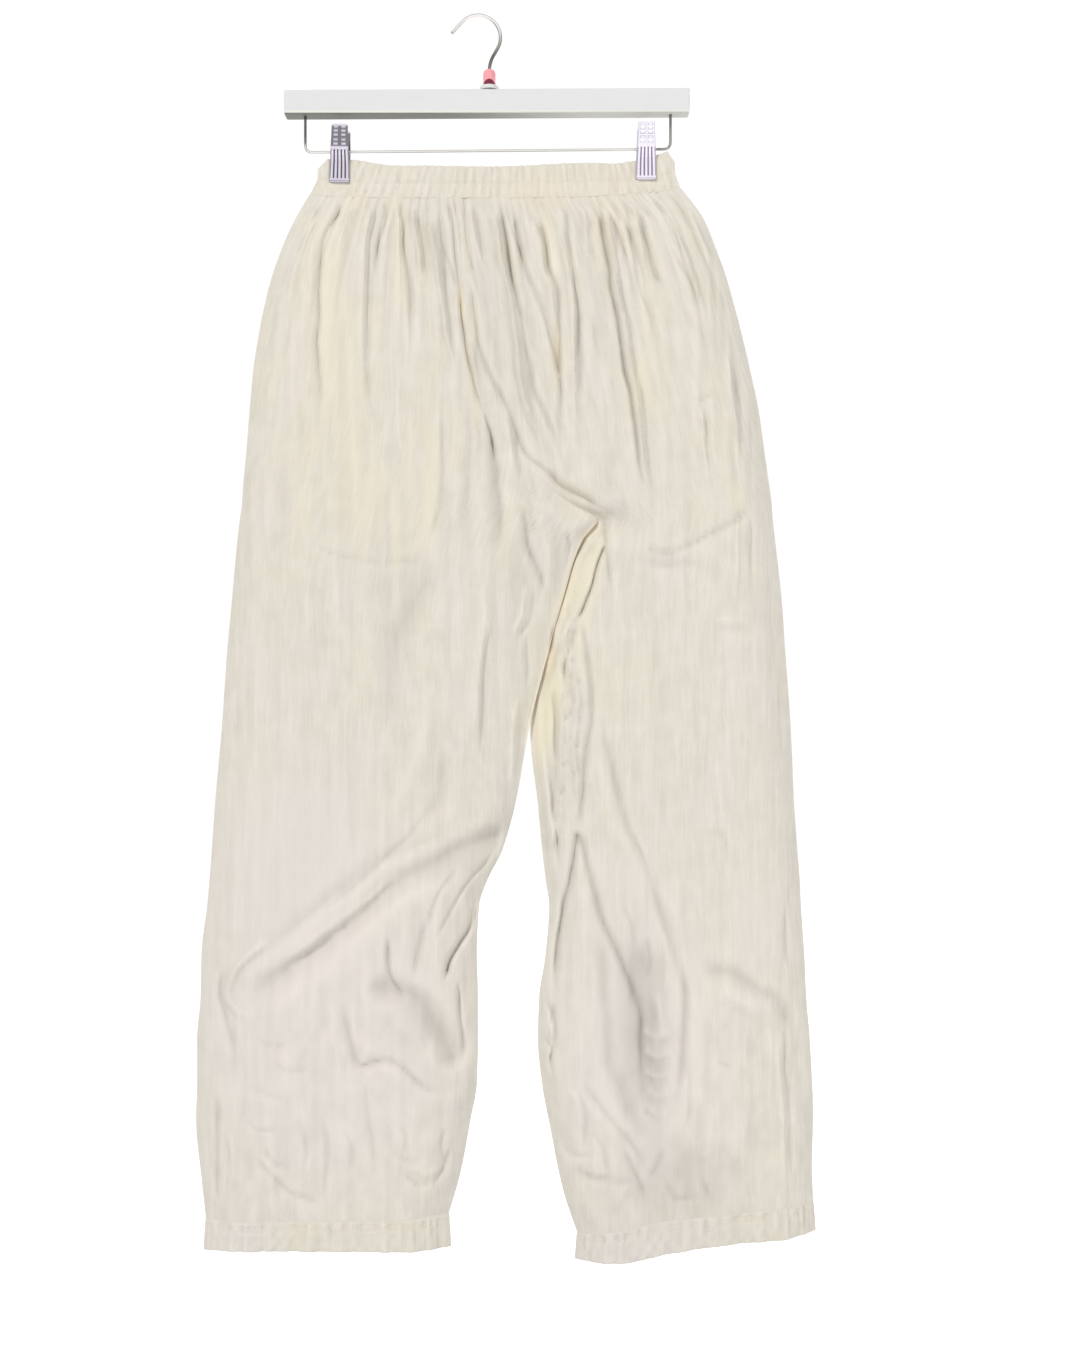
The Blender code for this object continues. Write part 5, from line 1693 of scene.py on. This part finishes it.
def addEars(piece, face, place):
    # Two cheeks that fold back from the plate and hold the rod
    profile = []
    for angle in np.linspace(-90, 90, 13):
        turned = math.radians(angle)
        profile.append((face * (-3.0 * math.cos(turned)), 4.2 * math.sin(turned)))
    profile += [(face * 6.4, 4.2), (face * 6.0, -4.2)]
    shape = bmesh.new()
    shape.from_mesh(piece.data)
    for edge in (-1, 1):
        rings = []
        for x in (edge * place, edge * (place - 1.0)):
            rings.append([shape.verts.new((x * mm, y * mm, z * mm)) for y, z in profile])
        made = [shape.faces.new(rings[0]), shape.faces.new(list(reversed(rings[1])))]
        for step in range(len(profile)):
            after = (step + 1) % len(profile)
            made.append(shape.faces.new((rings[0][step], rings[1][step], rings[1][after], rings[0][after])))
        bmesh.ops.recalc_face_normals(shape, faces=made)
    shape.to_mesh(piece.data)
    shape.free()
    piece.data.set_sharp_from_angle(angle=math.radians(50))


# Better materials on the hanger's own nodes
frameMaterials = {
    "hanger_bar": "paint",
    "hook_collar": "paint",
    "hanger_hook": "wire",
    "clip_rod": "wire",
    "clip_left_spring": "chrome",
    "clip_right_spring": "chrome",
    "hook_sleeve": "sleeve",
}


def finishFrame(materials):
    for node, key in frameMaterials.items():
        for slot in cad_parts[node].material_slots:
            slot.material = materials[key]


# Stitches: one node tree lays a short thread on each step of a line, in mm
stitch = {"spacing": 3.1, "thread": 0.26, "long": 0.36, "wobble": 0.09, "seed": 3, "off": 0.12}


def makeStitchTree():
    tree = bpy.data.node_groups.new("stitchRow", "GeometryNodeTree")
    tree.is_modifier = True
    sockets = (
        ("Geometry", "INPUT", "NodeSocketGeometry"),
        ("Spacing", "INPUT", "NodeSocketFloat"),
        ("Thread", "INPUT", "NodeSocketFloat"),
        ("Material", "INPUT", "NodeSocketMaterial"),
        ("Geometry", "OUTPUT", "NodeSocketGeometry"),
    )
    for name, direction, kind in sockets:
        tree.interface.new_socket(name, in_out=direction, socket_type=kind)
    start = tree.nodes.new("NodeGroupInput").outputs
    end = tree.nodes.new("NodeGroupOutput").inputs

    def add(kind, inputs, **settings):
        return addNode(tree, kind, inputs, **settings).outputs[0]

    curve = add("GeometryNodeMeshToCurve", {"Mesh": start["Geometry"]})
    even = add("GeometryNodeResampleCurve", {"Curve": curve, "Length": start["Spacing"]}, mode="LENGTH")
    bead = add("GeometryNodeMeshUVSphere", {"Segments": 6, "Rings": 5, "Radius": start["Thread"]})
    length = maths(tree, "DIVIDE", maths(tree, "MULTIPLY", start["Spacing"], stitch["long"]), start["Thread"])
    size = add("ShaderNodeCombineXYZ", {"X": 1.0, "Y": 1.0, "Z": length})
    thread = add("GeometryNodeTransform", {"Geometry": bead, "Scale": size})
    turn = add("FunctionNodeAlignRotationToVector", {"Vector": add("GeometryNodeInputTangent", {})}, axis="Z")
    reach = {"Min": (-stitch["wobble"],) * 3, "Max": (stitch["wobble"],) * 3, "Seed": stitch["seed"]}
    wobble = add("FunctionNodeRandomValue", reach, data_type="FLOAT_VECTOR")
    both = add("FunctionNodeRotateRotation", {0: turn, 1: add("FunctionNodeEulerToRotation", {0: wobble})})
    laid = add("GeometryNodeInstanceOnPoints", {"Points": even, "Instance": thread, "Rotation": both})
    real = add("GeometryNodeRealizeInstances", {0: laid})
    painted = add("GeometryNodeSetMaterial", {"Geometry": real, "Material": start["Material"]})
    tree.links.new(painted, end["Geometry"])
    return tree


def addStitches(name, lines, tree, material, closed=False):
    points, edges = [], []
    for line in lines:
        first = len(points)
        points += [tuple(point * mm) for point in line]
        edges += [(first + step, first + step + 1) for step in range(len(line) - 1)]
        if closed:
            edges.append((first + len(line) - 1, first))
    data = bpy.data.meshes.new(name)
    data.from_pydata(points, edges, [])
    piece = bpy.data.objects.new(name, data)
    bpy.context.scene.collection.objects.link(piece)
    modifier = piece.modifiers.new("stitches", "NODES")
    modifier.node_group = tree
    ids = {item.name: item.identifier for item in tree.interface.items_tree if item.in_out == "INPUT"}
    modifier[ids["Spacing"]] = stitch["spacing"] * mm
    modifier[ids["Thread"]] = stitch["thread"] * mm
    modifier[ids["Material"]] = material
    bpy.context.view_layer.update()
    made = bpy.data.meshes.new_from_object(piece.evaluated_get(bpy.context.evaluated_depsgraph_get()))
    piece.modifiers.clear()
    piece.data = made
    made.name = name
    made.shade_smooth()
    print(name, "triangles", sum(len(face.vertices) - 2 for face in made.polygons))
    return joinRide(piece)


def addSewing(material):
    tree = makeStitchTree()
    lines = []
    share = np.linspace(0.012, 0.988, 560)
    for face in (-1, 1):
        for row in casing["rows"]:
            out, across, up = casingOut(face, share, np.full_like(share, row))
            lines.append(np.stack([across, face * (out + stitch["off"]), up], -1))
    addStitches("casingStitches", lines, tree, material)
    for name, rows in sewnRows.items():
        addStitches(name + "Stitches", rows, tree, material, closed=True)


def main():
    makeCamera()
    materials = {
        "gauze": gauzeMaterial(makeCrinkleGroup()),
        "paint": paintMaterial(),
        "chrome": chromeMaterial(),
        "wire": wireMaterial(),
        "sleeve": sleeveMaterial(),
        "thread": threadMaterial(),
    }
    makeStudio()
    print("studio ready")
    addPanels(materials["gauze"])
    addBags(materials["gauze"])
    print("panels ready")
    addCasings(materials["gauze"])
    addHems(materials["gauze"])
    print("bands ready")
    addClips(materials["chrome"])
    finishFrame(materials)
    print("hanger ready")
    addSewing(materials["thread"])
    print("stitches ready")


main()
